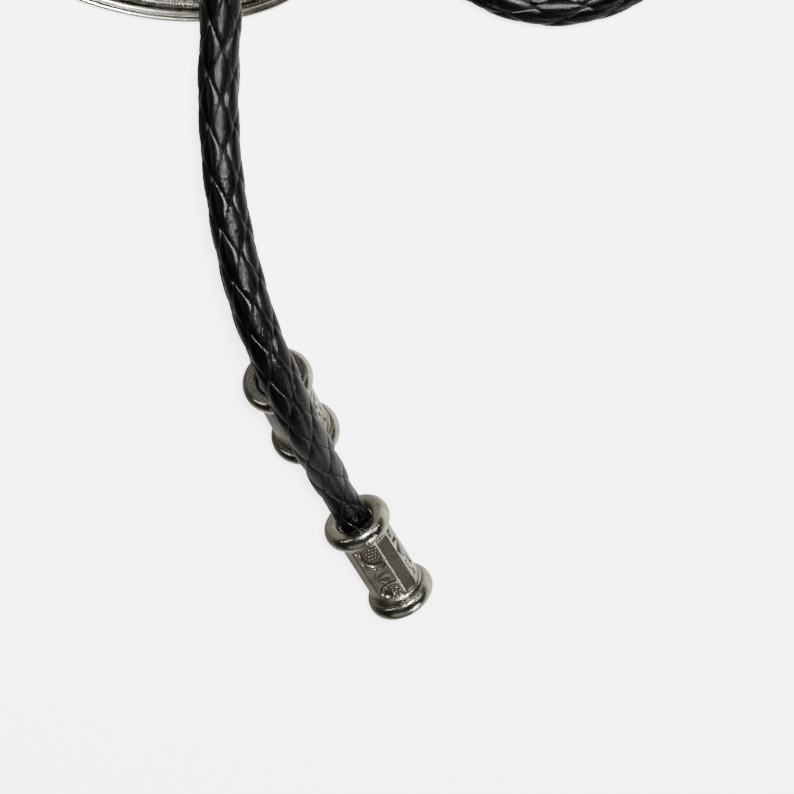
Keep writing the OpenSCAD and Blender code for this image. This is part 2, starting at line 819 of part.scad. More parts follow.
// Two turns of wire: a ring slit around its middle, with one end of the wire cut back on
// each side of the step that joins the turns.
module split_ring() color(steel)
    at_chain(-hook_lean)
        translate([ring_u, 0, 0]) {
            full = turn_gap / 2 + ring_turn_t;
            difference() {
                ring_sector(0, 360, -full, full, 0);
                ring_sector(10, 340, -turn_gap / 2, turn_gap / 2, cut);
                ring_sector(10, 5, -full - cut, turn_gap / 2, cut);
                ring_sector(345, 5, -turn_gap / 2, full + cut, cut);
            }
        }

translate(home) {
    wrist_loop();
    front_tail();
    rear_tail();
    front_tip();
    front_tip_sleeve();
    rear_tip();
    rear_tip_sleeve();
    keeper_base();
    keeper_cover();
    keeper_liners();
    keeper_screws();
    medallion_rim();
    medallion_back();
    medallion_plate();
    medallion_border();
    medallion_boss();
    medallion_rivets();
    medallion_bail();
    charm_link();
    key_link();
    swivel_eye();
    hook_body();
    hook_gate();
    gate_pin();
    gate_spring();
    split_ring();
}
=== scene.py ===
"""Braided leather wristlet keychain, dressed over its working frame.

One round braided cord runs from the front tip through the keeper, round the wrist
loop, back through the keeper and down to the rear tip. A medallion and a swivel hook
with a split ring hang from the keeper. Sizes are in millimetres on the table, and
``to_row`` turns them into metres in the frame.
"""

from __future__ import annotations

import logging
import math
from dataclasses import dataclass, field
from enum import Enum

import bpy
import numpy as np
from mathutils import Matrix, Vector


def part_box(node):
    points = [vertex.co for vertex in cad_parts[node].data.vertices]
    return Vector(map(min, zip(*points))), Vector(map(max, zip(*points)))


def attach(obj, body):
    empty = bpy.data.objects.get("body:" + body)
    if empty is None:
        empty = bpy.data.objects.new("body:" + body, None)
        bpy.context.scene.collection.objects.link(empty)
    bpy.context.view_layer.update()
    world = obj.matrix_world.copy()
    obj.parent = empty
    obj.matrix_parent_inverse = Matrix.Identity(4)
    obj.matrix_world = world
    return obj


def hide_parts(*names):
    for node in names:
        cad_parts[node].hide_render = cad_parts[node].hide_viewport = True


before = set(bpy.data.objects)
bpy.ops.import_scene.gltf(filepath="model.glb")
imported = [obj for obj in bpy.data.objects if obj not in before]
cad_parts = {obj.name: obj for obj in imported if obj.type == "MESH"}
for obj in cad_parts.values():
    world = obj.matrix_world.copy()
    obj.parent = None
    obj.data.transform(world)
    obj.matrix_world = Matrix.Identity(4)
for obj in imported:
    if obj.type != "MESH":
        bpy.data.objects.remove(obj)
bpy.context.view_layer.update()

LOG = logging.getLogger("wristlet")
MM = 0.001
TAU = 2 * math.pi
VIEW_TILT = 25.0  # Degrees that the camera leans back from straight above.
Triple = tuple[float, float, float]
Socket = bpy.types.NodeSocket
Relief = tuple[np.ndarray, np.ndarray]

# The keeper's cover stands at these table coordinates, which fixes the table in the frame.
KEEPER_X = -28.0
KEEPER_Y = 102.0
KEEPER_L = 16.0
STRAND_H = 7.2
LEFT_X = -31.7
RIGHT_X = -24.3
RUN_TO = 129.0
RUN_FROM = 99.5
COVER_LOW, COVER_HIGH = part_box("keeper_cover")
HOME = np.array(
    [
        (COVER_LOW[0] + COVER_HIGH[0]) / 2 / MM - KEEPER_X,
        COVER_LOW[1] / MM - KEEPER_Y,
        0.0,
    ]
)


def to_row(points: np.ndarray) -> np.ndarray:
    """Turns table millimetres into metres in the frame."""
    return (np.asarray(points, float) + HOME) * MM


def unit(v: np.ndarray) -> np.ndarray:
    """Scales vectors to length one along their last axis."""
    return v / np.linalg.norm(v, axis=-1, keepdims=True)


def smooth_step(x: np.ndarray, low: float, high: float) -> np.ndarray:
    """Rises smoothly from 0 at low to 1 at high.

    Args:
        x: Values to grade.
        low: Value up to which the result is 0.
        high: Value from which the result is 1.

    Returns:
        The graded values.
    """
    t = np.clip((np.asarray(x, float) - low) / (high - low), 0, 1)
    return t * t * (3 - 2 * t)


# ------------------------------------------------------------------------------------------
# Meshes
# ------------------------------------------------------------------------------------------
@dataclass
class Skin:
    """Collects the points and faces of one piece, with its wear and edge values."""

    points: list = field(default_factory=list)
    faces: list = field(default_factory=list)
    uvs: list = field(default_factory=list)
    hollows: list = field(default_factory=list)
    count: int = 0

    def grid(
        self,
        points: np.ndarray,
        around: bool = False,
        along: bool = False,
        hollow: np.ndarray | float = 0.0,
        uv: np.ndarray | None = None,
        flip: bool = False,
    ) -> None:
        """Adds a grid of points as a sheet of quads.

        Args:
            points: Rows, columns and three coordinates, in table millimetres.
            around: Whether the last column meets the first.
            along: Whether the last row meets the first.
            hollow: Depth of tarnish, 0 on worn high spots and 1 in deep recesses. On the braid's
                laces it marks the pale cut edges instead, partly a painted highlight.
            uv: Two surface coordinates for each point.
            flip: Whether the faces look the other way.
        """
        rows, cols = points.shape[:2]
        index = np.arange(rows * cols).reshape(rows, cols) + self.count
        down = np.roll(index, -1, 0) if along else index[1:]
        top = index if along else index[:-1]
        if around:
            a, b = top, np.roll(top, -1, 1)
            c, d = np.roll(down, -1, 1), down
        else:
            a, b, c, d = top[:, :-1], top[:, 1:], down[:, 1:], down[:, :-1]
        quads = np.stack([a, b, c, d], -1).reshape(-1, 4)
        self.faces.append(quads[:, ::-1] if flip else quads)
        self.points.append(points.reshape(-1, 3))
        depth = np.broadcast_to(np.asarray(hollow, float), (rows, cols))
        self.hollows.append(depth.reshape(-1))
        if uv is None:
            uv = np.stack(
                np.meshgrid(np.arange(rows), np.arange(cols), indexing="ij"), -1
            ).astype(float)
        self.uvs.append(uv.reshape(-1, 2))
        self.count += rows * cols

    def make(
        self, name: str, body: str, finish: bpy.types.Material, smooth: bool = True
    ) -> bpy.types.Object:
        """Makes the piece and lets it ride on its body.

        Args:
            name: Name of the piece.
            body: Body that the piece moves with.
            finish: Material that it shows.
            smooth: Whether its faces are shaded smooth.

        Returns:
            The new object.
        """
        mesh = bpy.data.meshes.new(name)
        faces = [tuple(int(i) for i in f) for block in self.faces for f in block]
        mesh.from_pydata(to_row(np.concatenate(self.points)).tolist(), [], faces)
        flat_uv = np.concatenate(self.uvs)
        loops = np.zeros(len(mesh.loops), np.int32)
        mesh.loops.foreach_get("vertex_index", loops)
        layer = mesh.uv_layers.new(name="surface")
        layer.data.foreach_set("uv", flat_uv[loops].astype(np.float32).ravel())
        tarnish = mesh.attributes.new("tarnish", "FLOAT", "POINT")
        tarnish.data.foreach_set("value", np.concatenate(self.hollows).astype(np.float32))
        mesh.materials.append(finish)
        mesh.polygons.foreach_set("use_smooth", [smooth] * len(mesh.polygons))
        mesh.validate()
        mesh.update()
        piece = bpy.data.objects.new(name, mesh)
        bpy.context.scene.collection.objects.link(piece)
        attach(piece, body)
        return piece


def sharpen(piece: bpy.types.Object, degrees: float = 35.0) -> None:
    """Keeps edges that turn more than the angle crisp.

    Args:
        piece: Mesh piece.
        degrees: Turn from which an edge is crisp.
    """
    mesh = piece.data
    mesh.update()
    normals = np.zeros(len(mesh.polygons) * 3)
    mesh.polygons.foreach_get("normal", normals)
    normals = normals.reshape(-1, 3)
    owners: dict[tuple[int, int], list[int]] = {}
    for polygon in mesh.polygons:
        for key in polygon.edge_keys:
            owners.setdefault(key, []).append(polygon.index)
    limit = math.cos(math.radians(degrees))
    for edge in mesh.edges:
        pair = owners.get(tuple(sorted(edge.vertices)), [])
        edge.use_edge_sharp = (
            len(pair) == 2 and float(normals[pair[0]] @ normals[pair[1]]) < limit
        )


# ------------------------------------------------------------------------------------------
# Finishes
# ------------------------------------------------------------------------------------------
class Pot:
    """Builds one procedural material, node by node."""

    def __init__(self, name: str) -> None:
        """Starts an empty material with a Principled shader."""
        self.material = bpy.data.materials.new(name)
        self.material.use_nodes = True
        self.tree = self.material.node_tree
        self.tree.nodes.clear()
        self.shader = self.node("ShaderNodeBsdfPrincipled")
        output = self.node("ShaderNodeOutputMaterial")
        self.link(self.shader.outputs[0], output.inputs["Surface"])

    def node(self, kind: str, **settings: object) -> bpy.types.Node:
        """Adds a node and sets its fields.

        Args:
            kind: Node type.
            settings: Fields of the node and their values.

        Returns:
            The node.
        """
        made = self.tree.nodes.new(kind)
        for key, value in settings.items():
            setattr(made, key, value)
        return made

    def link(self, start: Socket, end: Socket) -> None:
        """Joins two sockets."""
        self.tree.links.new(start, end)

    def feed(self, socket: Socket, value: object) -> None:
        """Links a socket to another, or sets its plain value.

        Args:
            socket: Input to feed.
            value: Socket or plain value.
        """
        if isinstance(value, Socket):
            self.link(value, socket)
        else:
            socket.default_value = value

    def _stretched(self, where: Socket, stretch: Triple) -> Socket:
        """Scales coordinates on each axis.

        Args:
            where: Coordinates to scale.
            stretch: Scale on each axis.

        Returns:
            The scaled coordinates.
        """
        mapping = self.node("ShaderNodeMapping")
        mapping.inputs["Scale"].default_value = stretch
        self.link(where, mapping.inputs["Vector"])
        return mapping.outputs[0]

    def place(self, stretch: Triple = (1, 1, 1)) -> Socket:
        """Gives object coordinates, stretched on each axis."""
        return self._stretched(self.node("ShaderNodeTexCoord").outputs["Object"], stretch)

    def surface(self, stretch: Triple = (1, 1, 1)) -> Socket:
        """Gives the mesh's own surface coordinates, stretched on each axis."""
        uv = self.node("ShaderNodeUVMap", uv_map="surface")
        return self._stretched(uv.outputs[0], stretch)

    def noise(
        self, where: Socket, scale: float, detail: float = 3.0, rough: float = 0.55
    ) -> Socket:
        """Gives a noise value.

        Args:
            where: Coordinates.
            scale: Cells to the metre.
            detail: Layers of finer noise.
            rough: Share that each finer layer keeps.

        Returns:
            The noise.
        """
        made = self.node("ShaderNodeTexNoise")
        self.link(where, made.inputs["Vector"])
        made.inputs["Scale"].default_value = scale
        made.inputs["Detail"].default_value = detail
        made.inputs["Roughness"].default_value = rough
        return made.outputs[0]

    def cells(self, where: Socket, scale: float) -> Socket:
        """Gives the distance to the nearest grain cell.

        Args:
            where: Coordinates.
            scale: Cells to the metre.

        Returns:
            The distance.
        """
        made = self.node("ShaderNodeTexVoronoi")
        self.link(where, made.inputs["Vector"])
        made.inputs["Scale"].default_value = scale
        return made.outputs["Distance"]

    def attribute(self, name: str) -> Socket:
        """Gives a value stored on the mesh."""
        return self.node("ShaderNodeAttribute", attribute_name=name).outputs["Fac"]

    def span(
        self, value: object, low: float, high: float, out_low: float, out_high: float
    ) -> Socket:
        """Maps a value's range onto another.

        Args:
            value: Value to map.
            low: Start of its range.
            high: End of its range.
            out_low: Result at the start.
            out_high: Result at the end.

        Returns:
            The mapped value.
        """
        made = self.node("ShaderNodeMapRange")
        self.feed(made.inputs["Value"], value)
        for key, number in (
            ("From Min", low),
            ("From Max", high),
            ("To Min", out_low),
            ("To Max", out_high),
        ):
            made.inputs[key].default_value = number
        return made.outputs[0]

    def math(self, operation: str, a: object, b: object = 0.0) -> Socket:
        """Joins two values with an operation.

        Args:
            operation: Name of the operation.
            a: First value.
            b: Second value.

        Returns:
            The result.
        """
        made = self.node("ShaderNodeMath", operation=operation)
        self.feed(made.inputs[0], a)
        self.feed(made.inputs[1], b)
        return made.outputs[0]

    def blend(
        self, amount: object, a: tuple | Socket, b: tuple | Socket
    ) -> Socket:
        """Mixes two colours.

        Args:
            amount: Share of the second colour.
            a: First colour.
            b: Second colour.

        Returns:
            The mixed colour.
        """
        made = self.node("ShaderNodeMix", data_type="RGBA")
        self.feed(made.inputs["Factor"], amount)
        self.feed(made.inputs["A"], a if isinstance(a, Socket) else (*a, 1.0))
        self.feed(made.inputs["B"], b if isinstance(b, Socket) else (*b, 1.0))
        return made.outputs["Result"]

    def bump(
        self, height: Socket, depth: float, strength: float, below: object = None
    ) -> Socket:
        """Turns a height into a bumped normal, on top of another one.

        Args:
            height: Height to follow.
            depth: Depth of the bump, in metres.
            strength: Share of the bump that is used.
            below: Normal that it is laid over.

        Returns:
            The bumped normal.
        """
        made = self.node("ShaderNodeBump")
        made.inputs["Strength"].default_value = strength
        made.inputs["Distance"].default_value = depth
        self.link(height, made.inputs["Height"])
        if below is not None:
            self.link(below, made.inputs["Normal"])
        return made.outputs[0]

    def done(
        self,
        colour: object,
        roughness: object,
        metallic: float = 0.0,
        normal: Socket | None = None,
    ) -> bpy.types.Material:
        """Sets the shader's main inputs.

        Args:
            colour: Base colour or the socket that gives it.
            roughness: Roughness or the socket that gives it.
            metallic: 1 for metals.
            normal: Bumped normal.

        Returns:
            The finished material.
        """
        inputs = self.shader.inputs
        if isinstance(colour, tuple):
            colour = (*colour, 1.0)
        self.feed(inputs["Base Color"], colour)
        self.feed(inputs["Roughness"], roughness)
        inputs["Metallic"].default_value = metallic
        if normal is not None:
            self.link(normal, inputs["Normal"])
        return self.material


@dataclass(frozen=True)
class BraidLeather:
    """Waxed black lace: fine grain, faint creases across the lace and pale cut edges, partly the
    lighter raw cut side and partly a painted highlight.
    """

    name: str = "waxed_black_lace"
    black: Triple = (0.0003, 0.0003, 0.0004)
    rubbed: Triple = (0.0009, 0.0009, 0.001)
    # Pale cut-edge colour: partly the lace's lighter raw side, partly a painted highlight where the
    # edge catches light.
    pale_cut_edge_and_highlight: Triple = (0.03, 0.029, 0.028)
    grain_per_m: float = 4200.0
    gloss: float = 0.25

    def material(self) -> bpy.types.Material:
        """Mixes the leather's colour, gloss and grain.

        Returns:
            The material.
        """
        pot = Pot(self.name)
        here = pot.place()
        lace = pot.surface((1.0, 6.0, 1.0))
        grain = pot.cells(here, self.grain_per_m)
        crease = pot.noise(lace, 1.1, 4.0, 0.65)
        cloud = pot.noise(here, 260.0, 3.0)
        # On the laces the mesh's tarnish value marks the cut edges.
        edge = pot.attribute("tarnish")
        rubbed = pot.blend(pot.span(cloud, 0.4, 0.7, 0.0, 1.0), self.black, self.rubbed)
        # Pale cut edges, patchy with the cloud noise: partly the raw cut side, partly a painted
        # highlight along the lace edges.
        cut = pot.math("MULTIPLY", edge, pot.span(cloud, 0.48, 0.62, 0.05, 1.0))
        colour = pot.blend(cut, rubbed, self.pale_cut_edge_and_highlight)
        rough = pot.span(pot.math("ADD", cloud, crease), 0.75, 1.25, 0.16, 0.26)
        normal = pot.bump(crease, 0.00022, 0.45)
        normal = pot.bump(grain, 0.00005, 0.12, normal)
        pot.shader.inputs["Specular IOR Level"].default_value = self.gloss
        return pot.done(colour, rough, normal=normal)


@dataclass(frozen=True)
class CastMetal:
    """A metal casting with bright rubbed high spots and tarnish in its recesses."""

    name: str
    bright: Triple
    worn: Triple
    tarnish: Triple
    rust: Triple
    gloss: tuple[float, float] = (0.16, 0.4)
    patches: float = 0.55
    pits: float = 0.5

    def material(self) -> bpy.types.Material:
        """Mixes the casting's colour by depth and wear.

        Returns:
            The material.
        """
        pot = Pot(self.name)
        here = pot.place()
        cloud = pot.noise(here, 330.0, 5.0, 0.62)
        speck = pot.noise(here, 2600.0, 3.0, 0.6)
        brown = pot.noise(here, 210.0, 2.0)
        depth = pot.attribute("tarnish")
        wear = pot.math("MULTIPLY", pot.span(cloud, 0.42, 0.66, 0.0, 1.0), self.patches)
        skin = pot.blend(wear, self.bright, self.worn)
        dark = pot.blend(pot.span(brown, 0.5, 0.62, 0.0, 1.0), self.tarnish, self.rust)
        edge = pot.math("ADD", depth, pot.span(speck, 0.3, 0.7, -0.1, 0.1))
        cover = pot.span(edge, 0.2, 0.85, 0.0, 1.0)
        colour = pot.blend(cover, skin, dark)
        rough = pot.math(
            "ADD",
            pot.span(cover, 0.0, 1.0, self.gloss[0], self.gloss[1]),
            pot.span(cloud, 0.35, 0.7, -0.03, 0.1),
        )
        normal = pot.bump(speck, 0.00006, self.pits)
        normal = pot.bump(cloud, 0.00012, 0.1 * self.pits, normal)
        return pot.done(colour, rough, metallic=1.0, normal=normal)


@dataclass(frozen=True)
class TurnedSteel:
    """Drawn or turned steel with fine lines and soft handling marks."""

    name: str
    colour: Triple
    dulled: Triple
    lines: Triple = (1.0, 1.0, 1.0)
    gloss: float = 0.16

    def material(self) -> bpy.types.Material:
        """Mixes the steel's colour and fine lines.

        Returns:
            The material.
        """
        pot = Pot(self.name)
        fine = pot.noise(pot.place(self.lines), 2200.0, 3.0)
        cloud = pot.noise(pot.place(), 240.0, 4.0)
        colour = pot.blend(pot.span(cloud, 0.45, 0.7, 0.0, 1.0), self.colour, self.dulled)
        rough = pot.math(
            "ADD",
            pot.span(fine, 0.3, 0.7, self.gloss - 0.04, self.gloss + 0.08),
            pot.span(cloud, 0.4, 0.7, 0.0, 0.1),
        )
        normal = pot.bump(fine, 0.00003, 0.3)
        return pot.done(colour, rough, metallic=1.0, normal=normal)


@dataclass(frozen=True)
class MouldedRubber:
    """Matt black liner rubber."""

    name: str = "liner_rubber"
    dark: Triple = (0.012, 0.012, 0.012)
    pale: Triple = (0.035, 0.035, 0.036)

    def material(self) -> bpy.types.Material:
        """Mixes the rubber's faint mottling.

        Returns:
            The material.
        """
        pot = Pot(self.name)
        cloud = pot.noise(pot.place(), 1500.0, 3.0)
        colour = pot.blend(cloud, self.dark, self.pale)
        normal = pot.bump(cloud, 0.00005, 0.4)
        return pot.done(colour, pot.span(cloud, 0.3, 0.7, 0.55, 0.75), normal=normal)


@dataclass(frozen=True)
class PaleTable:
    """Smooth pale paper that the keychain lies on."""

    name: str = "pale_paper"
    glow: float = 3.6
    dark: Triple = (0.9, 0.9, 0.9)
    pale: Triple = (0.93, 0.93, 0.93)

    def material(self) -> bpy.types.Material:
        """Mixes the paper's faint tooth.

        Returns:
            The material.
        """
        pot = Pot(self.name)
        tooth = pot.noise(pot.place(), 700.0, 2.0)
        colour = pot.blend(tooth, self.dark, self.pale)
        pot.shader.inputs["Emission Color"].default_value = (1.0, 1.0, 1.0, 1.0)
        pot.shader.inputs["Emission Strength"].default_value = self.glow
        return pot.done(colour, 0.85, normal=pot.bump(tooth, 0.00002, 0.2))


@dataclass(frozen=True)
class FinishSet:
    """All finishes of the keychain."""

    leather: bpy.types.Material
    cast: bpy.types.Material
    plate: bpy.types.Material
    nickel: bpy.types.Material
    steel: bpy.types.Material
    rubber: bpy.types.Material

    @staticmethod
    def mixed() -> FinishSet:
        """Mixes every finish once.

        Returns:
            The set of finishes.
        """
        return FinishSet(
            leather=BraidLeather().material(),
            cast=CastMetal(
                "antique_silver_casting",
                bright=(0.47, 0.455, 0.38),
                worn=(0.25, 0.245, 0.195),
                tarnish=(0.075, 0.072, 0.055),
                rust=(0.11, 0.065, 0.04),
                patches=0.85,
                pits=0.8,
            ).material(),
            plate=CastMetal(
                "pierced_plate_casting",
                bright=(0.5, 0.49, 0.47),
                worn=(0.3, 0.27, 0.29),
                tarnish=(0.02, 0.019, 0.021),
                rust=(0.05, 0.035, 0.03),
                gloss=(0.2, 0.42),
            ).material(),
            nickel=CastMetal(
                "polished_nickel",
                bright=(0.78, 0.76, 0.69),
                worn=(0.66, 0.63, 0.55),
                tarnish=(0.07, 0.066, 0.055),
                rust=(0.12, 0.09, 0.06),
                gloss=(0.09, 0.3),
                patches=0.4,
                pits=0.18,
            ).material(),
            steel=TurnedSteel(
                "bright_steel", colour=(0.56, 0.56, 0.55), dulled=(0.42, 0.42, 0.41)
            ).material(),
            rubber=MouldedRubber().material(),
        )


# ------------------------------------------------------------------------------------------
# Braided cord
# ------------------------------------------------------------------------------------------
FRONT_ROUTE = [
    (-31.7, 95, 7.5), (-31.2, 89.5, 8.5), (-29.7, 84, 10), (-27.6, 78.5, 11.7),
    (-25.4, 73, 12.8), (-23.6, 68, 13.3), (-22.7, 62.5, 13.5), (-23.1, 56, 14.2),
    (-23.3, 49.5, 15.5), (-23, 43, 17.2), (-22.2, 36.5, 19), (-21, 30.5, 20.6),
    (-19.6, 25, 21.8), (-17.9, 19.4, 22.4), (-16, 14.2, 22.3), (-14.1, 8.5, 21.2),
    (-12.1, 2.4, 18.5), (-10.2, -4, 14.4), (-8.6, -9.1, 11.3),
]
REAR_ROUTE = [
    (-24.3, 95, 7.1), (-24.2, 88, 7), (-24, 80, 7), (-23.7, 72, 7), (-23.5, 64, 7.1),
    (-23.3, 57, 7.8), (-23.5, 50, 9.1), (-23.5, 43, 10.9), (-22.9, 36, 13),
    (-21.8, 29.5, 14.9), (-20.6, 24, 15.9), (-19.2, 18.5, 16), (-18, 14.2, 15.3),
]
LAY_Z = 2.75
LOOP_ROUTE = [
    (-31.7, 134, 5.8), (-31.6, 139, 4), (-31, 144.5, 3), (-29, 152.5, LAY_Z),
    (-25, 160.5, LAY_Z), (-18.5, 168.5, LAY_Z), (-10, 175, LAY_Z), (0, 179, LAY_Z),
    (10.5, 180, LAY_Z), (21, 177.5, LAY_Z), (30.5, 172, LAY_Z), (38.5, 163.5, LAY_Z),
    (43.5, 154, LAY_Z), (46.2, 144, LAY_Z), (47.3, 133, LAY_Z), (47.7, 121, LAY_Z),
    (47.7, 109, LAY_Z), (47.2, 97, LAY_Z), (45.5, 85, LAY_Z), (42.2, 75, LAY_Z),
    (37, 66.5, LAY_Z), (30, 61, LAY_Z), (21, 58.7, LAY_Z), (12, 61, LAY_Z),
    (5, 66.5, LAY_Z), (0, 75, LAY_Z), (-2.8, 85, LAY_Z), (-3, 97, LAY_Z),
    (-1.5, 109, LAY_Z), (0.3, 120, LAY_Z), (1.3, 130, LAY_Z), (0.3, 139, LAY_Z),
    (-3.6, 146.3, LAY_Z), (-10.5, 150.3, LAY_Z), (-17.7, 148.3, 3), (-22.6, 142.4, 3.8),
    (-24.3, 135.5, 5.6),
]


@dataclass(frozen=True)
class TipPlace:
    """Where a tip stands: the middle of its free flange over the table, and its axis."""

    foot: tuple[float, float]
    yaw: float
    slope: float
    roll: float = 5.6
    pitch: float = 14.8
    flange_t: float = 2.6
    core_r: float = 3.7

    @property
    def axis(self) -> np.ndarray:
        """Direction from the entry face to the free end."""
        yaw, slope = math.radians(self.yaw), math.radians(self.slope)
        return np.array(
            [math.cos(slope) * math.cos(yaw), math.cos(slope) * math.sin(yaw), -math.sin(slope)]
        )

    @property
    def entry(self) -> np.ndarray:
        """Middle of the entry face."""
        height = self.core_r * math.cos(math.radians(self.slope)) + self.flange_t / 2
        stand = np.array([*self.foot, height])
        return stand - (self.pitch + self.flange_t / 2) * self.axis

    def lay(self, points: np.ndarray) -> np.ndarray:
        """Lays points that were built along +Z from the entry face at the tip's place.

        Args:
            points: Points of the tip, in millimetres.

        Returns:
            The points on the table.
        """
        roll, yaw = math.radians(self.roll), math.radians(self.yaw)
        tilt = math.radians(90 + self.slope)
        turn = [
            [math.cos(roll), -math.sin(roll), 0], [math.sin(roll), math.cos(roll), 0], [0, 0, 1]
        ]
        lean = [
            [math.cos(tilt), 0, math.sin(tilt)], [0, 1, 0], [-math.sin(tilt), 0, math.cos(tilt)]
        ]
        head = [
            [math.cos(yaw), -math.sin(yaw), 0], [math.sin(yaw), math.cos(yaw), 0], [0, 0, 1]
        ]
        return points @ (np.array(head) @ np.array(lean) @ np.array(turn)).T + self.entry


FRONT_TIP = TipPlace(foot=(0.5, -28.9), yaw=-64.5, slope=13.5)
REAR_TIP = TipPlace(foot=(-13.0, -3.5), yaw=-74.0, slope=33.7)


# Section of a lace, across and up: a crowned top with crisp cut sides, and a flat underside.
LACE_HALF = (
    (0.0, 0.5), (0.32, 0.48), (0.62, 0.43), (0.84, 0.35), (0.94, 0.25), (0.985, 0.1), (1.0, -0.3),
)
LACE_TOP = [(-x, z) for x, z in LACE_HALF[:0:-1]] + list(LACE_HALF)
LACE_ACROSS, LACE_CROWN = np.array([*LACE_TOP, (0.7, -0.5), (0.0, -0.5), (-0.7, -0.5)]).T


class Lay(Enum):
    """Which way a lace winds round the cord."""

    RIGHT = 1
    LEFT = -1


@dataclass
class CordLine:
    """The whole cord's centreline, from inside the front tip to inside the rear tip."""

    step: float = 0.2
    end_depth: float = 10.6

    def __post_init__(self) -> None:
        """Splines the route and carries a steady frame along it."""
        front = [FRONT_TIP.entry + d * FRONT_TIP.axis for d in (self.end_depth, 5, 1, -1.5)]
        rear = [REAR_TIP.entry + d * REAR_TIP.axis for d in (-1.5, 1, 5, self.end_depth)]
        through = np.linspace(RUN_FROM, RUN_TO, 8)
        up = [(LEFT_X, y, STRAND_H) for y in through]
        back = [(RIGHT_X, y, STRAND_H) for y in through[::-1]]
        route = [*front, *FRONT_ROUTE[::-1], *up, *LOOP_ROUTE, *back, *REAR_ROUTE, *rear]
        self.points = self._spline(np.array([list(p) for p in route], float))
        gaps = np.linalg.norm(np.diff(self.points, axis=0), axis=1)
        self.s = np.concatenate([[0], np.cumsum(gaps)])
        self.along = unit(np.gradient(self.points, axis=0))
        self.side = self._carry(np.array([0.0, 0.4, 0.9]))
        self.up_join = self.s[self._near((LEFT_X, RUN_TO, STRAND_H))]
        self.down_join = self.s[self._near((RIGHT_X, RUN_TO, STRAND_H))]

    def _spline(self, route: np.ndarray) -> np.ndarray:
        """Draws a natural cubic spline through the route, in even steps.

        Args:
            route: Points to pass through.

        Returns:
            Points along the curve.
        """
        t = np.concatenate([[0], np.cumsum(np.linalg.norm(np.diff(route, axis=0), axis=1))])
        n, h = len(route), np.diff(t)
        system, right = np.eye(n), np.zeros((n, 3))
        for i in range(1, n - 1):
            system[i, i - 1 : i + 2] = h[i - 1], 2 * (h[i - 1] + h[i]), h[i]
            right[i] = 6 * (
                (route[i + 1] - route[i]) / h[i] - (route[i] - route[i - 1]) / h[i - 1]
            )
        curve = np.linalg.solve(system, right)
        x = np.linspace(0, t[-1], int(t[-1] / self.step))
        i = np.clip(np.searchsorted(t, x, side="right") - 1, 0, n - 2)
        a, b, g = (t[i + 1] - x)[:, None], (x - t[i])[:, None], h[i][:, None]
        return (
            (curve[i] * a**3 + curve[i + 1] * b**3) / (6 * g)
            + (route[i] / g - curve[i] * g / 6) * a
            + (route[i + 1] / g - curve[i + 1] * g / 6) * b
        )

    def _carry(self, start: np.ndarray) -> np.ndarray:
        """Carries a side direction along the line without twist.

        Args:
            start: Side direction at the first point.

        Returns:
            A side direction for each point.
        """
        sides = np.zeros_like(self.points)
        side = start
        for i, along in enumerate(self.along):
            side = side - (side @ along) * along
            side = side / np.linalg.norm(side)
            sides[i] = side
        return sides

    def _near(self, point: Triple) -> int:
        """Finds the line's point nearest to a place."""
        return int(np.argmin(np.linalg.norm(self.points - np.array(point), axis=1)))

    def near(self, point: Triple) -> float:
        """Gives the length along the cord at a place."""
        return float(self.s[self._near(point)])

    def at(self, s: np.ndarray) -> tuple[np.ndarray, np.ndarray, np.ndarray]:
        """Gives centre, side and cross directions at lengths along the cord.

        Args:
            s: Lengths along the cord.

        Returns:
            Centres, side directions and cross directions.
        """
        flat = np.asarray(s, float)
        over = flat - np.clip(flat, self.s[0], self.s[-1])

        def pick(values: np.ndarray) -> np.ndarray:
            """Reads one set of vectors along the line."""
            return np.stack([np.interp(flat, self.s, values[:, k]) for k in range(3)], -1)

        along = unit(pick(self.along))
        side = pick(self.side)
        side = unit(side - np.sum(side * along, -1, keepdims=True) * along)
        return pick(self.points) + over[..., None] * along, side, np.cross(along, side)


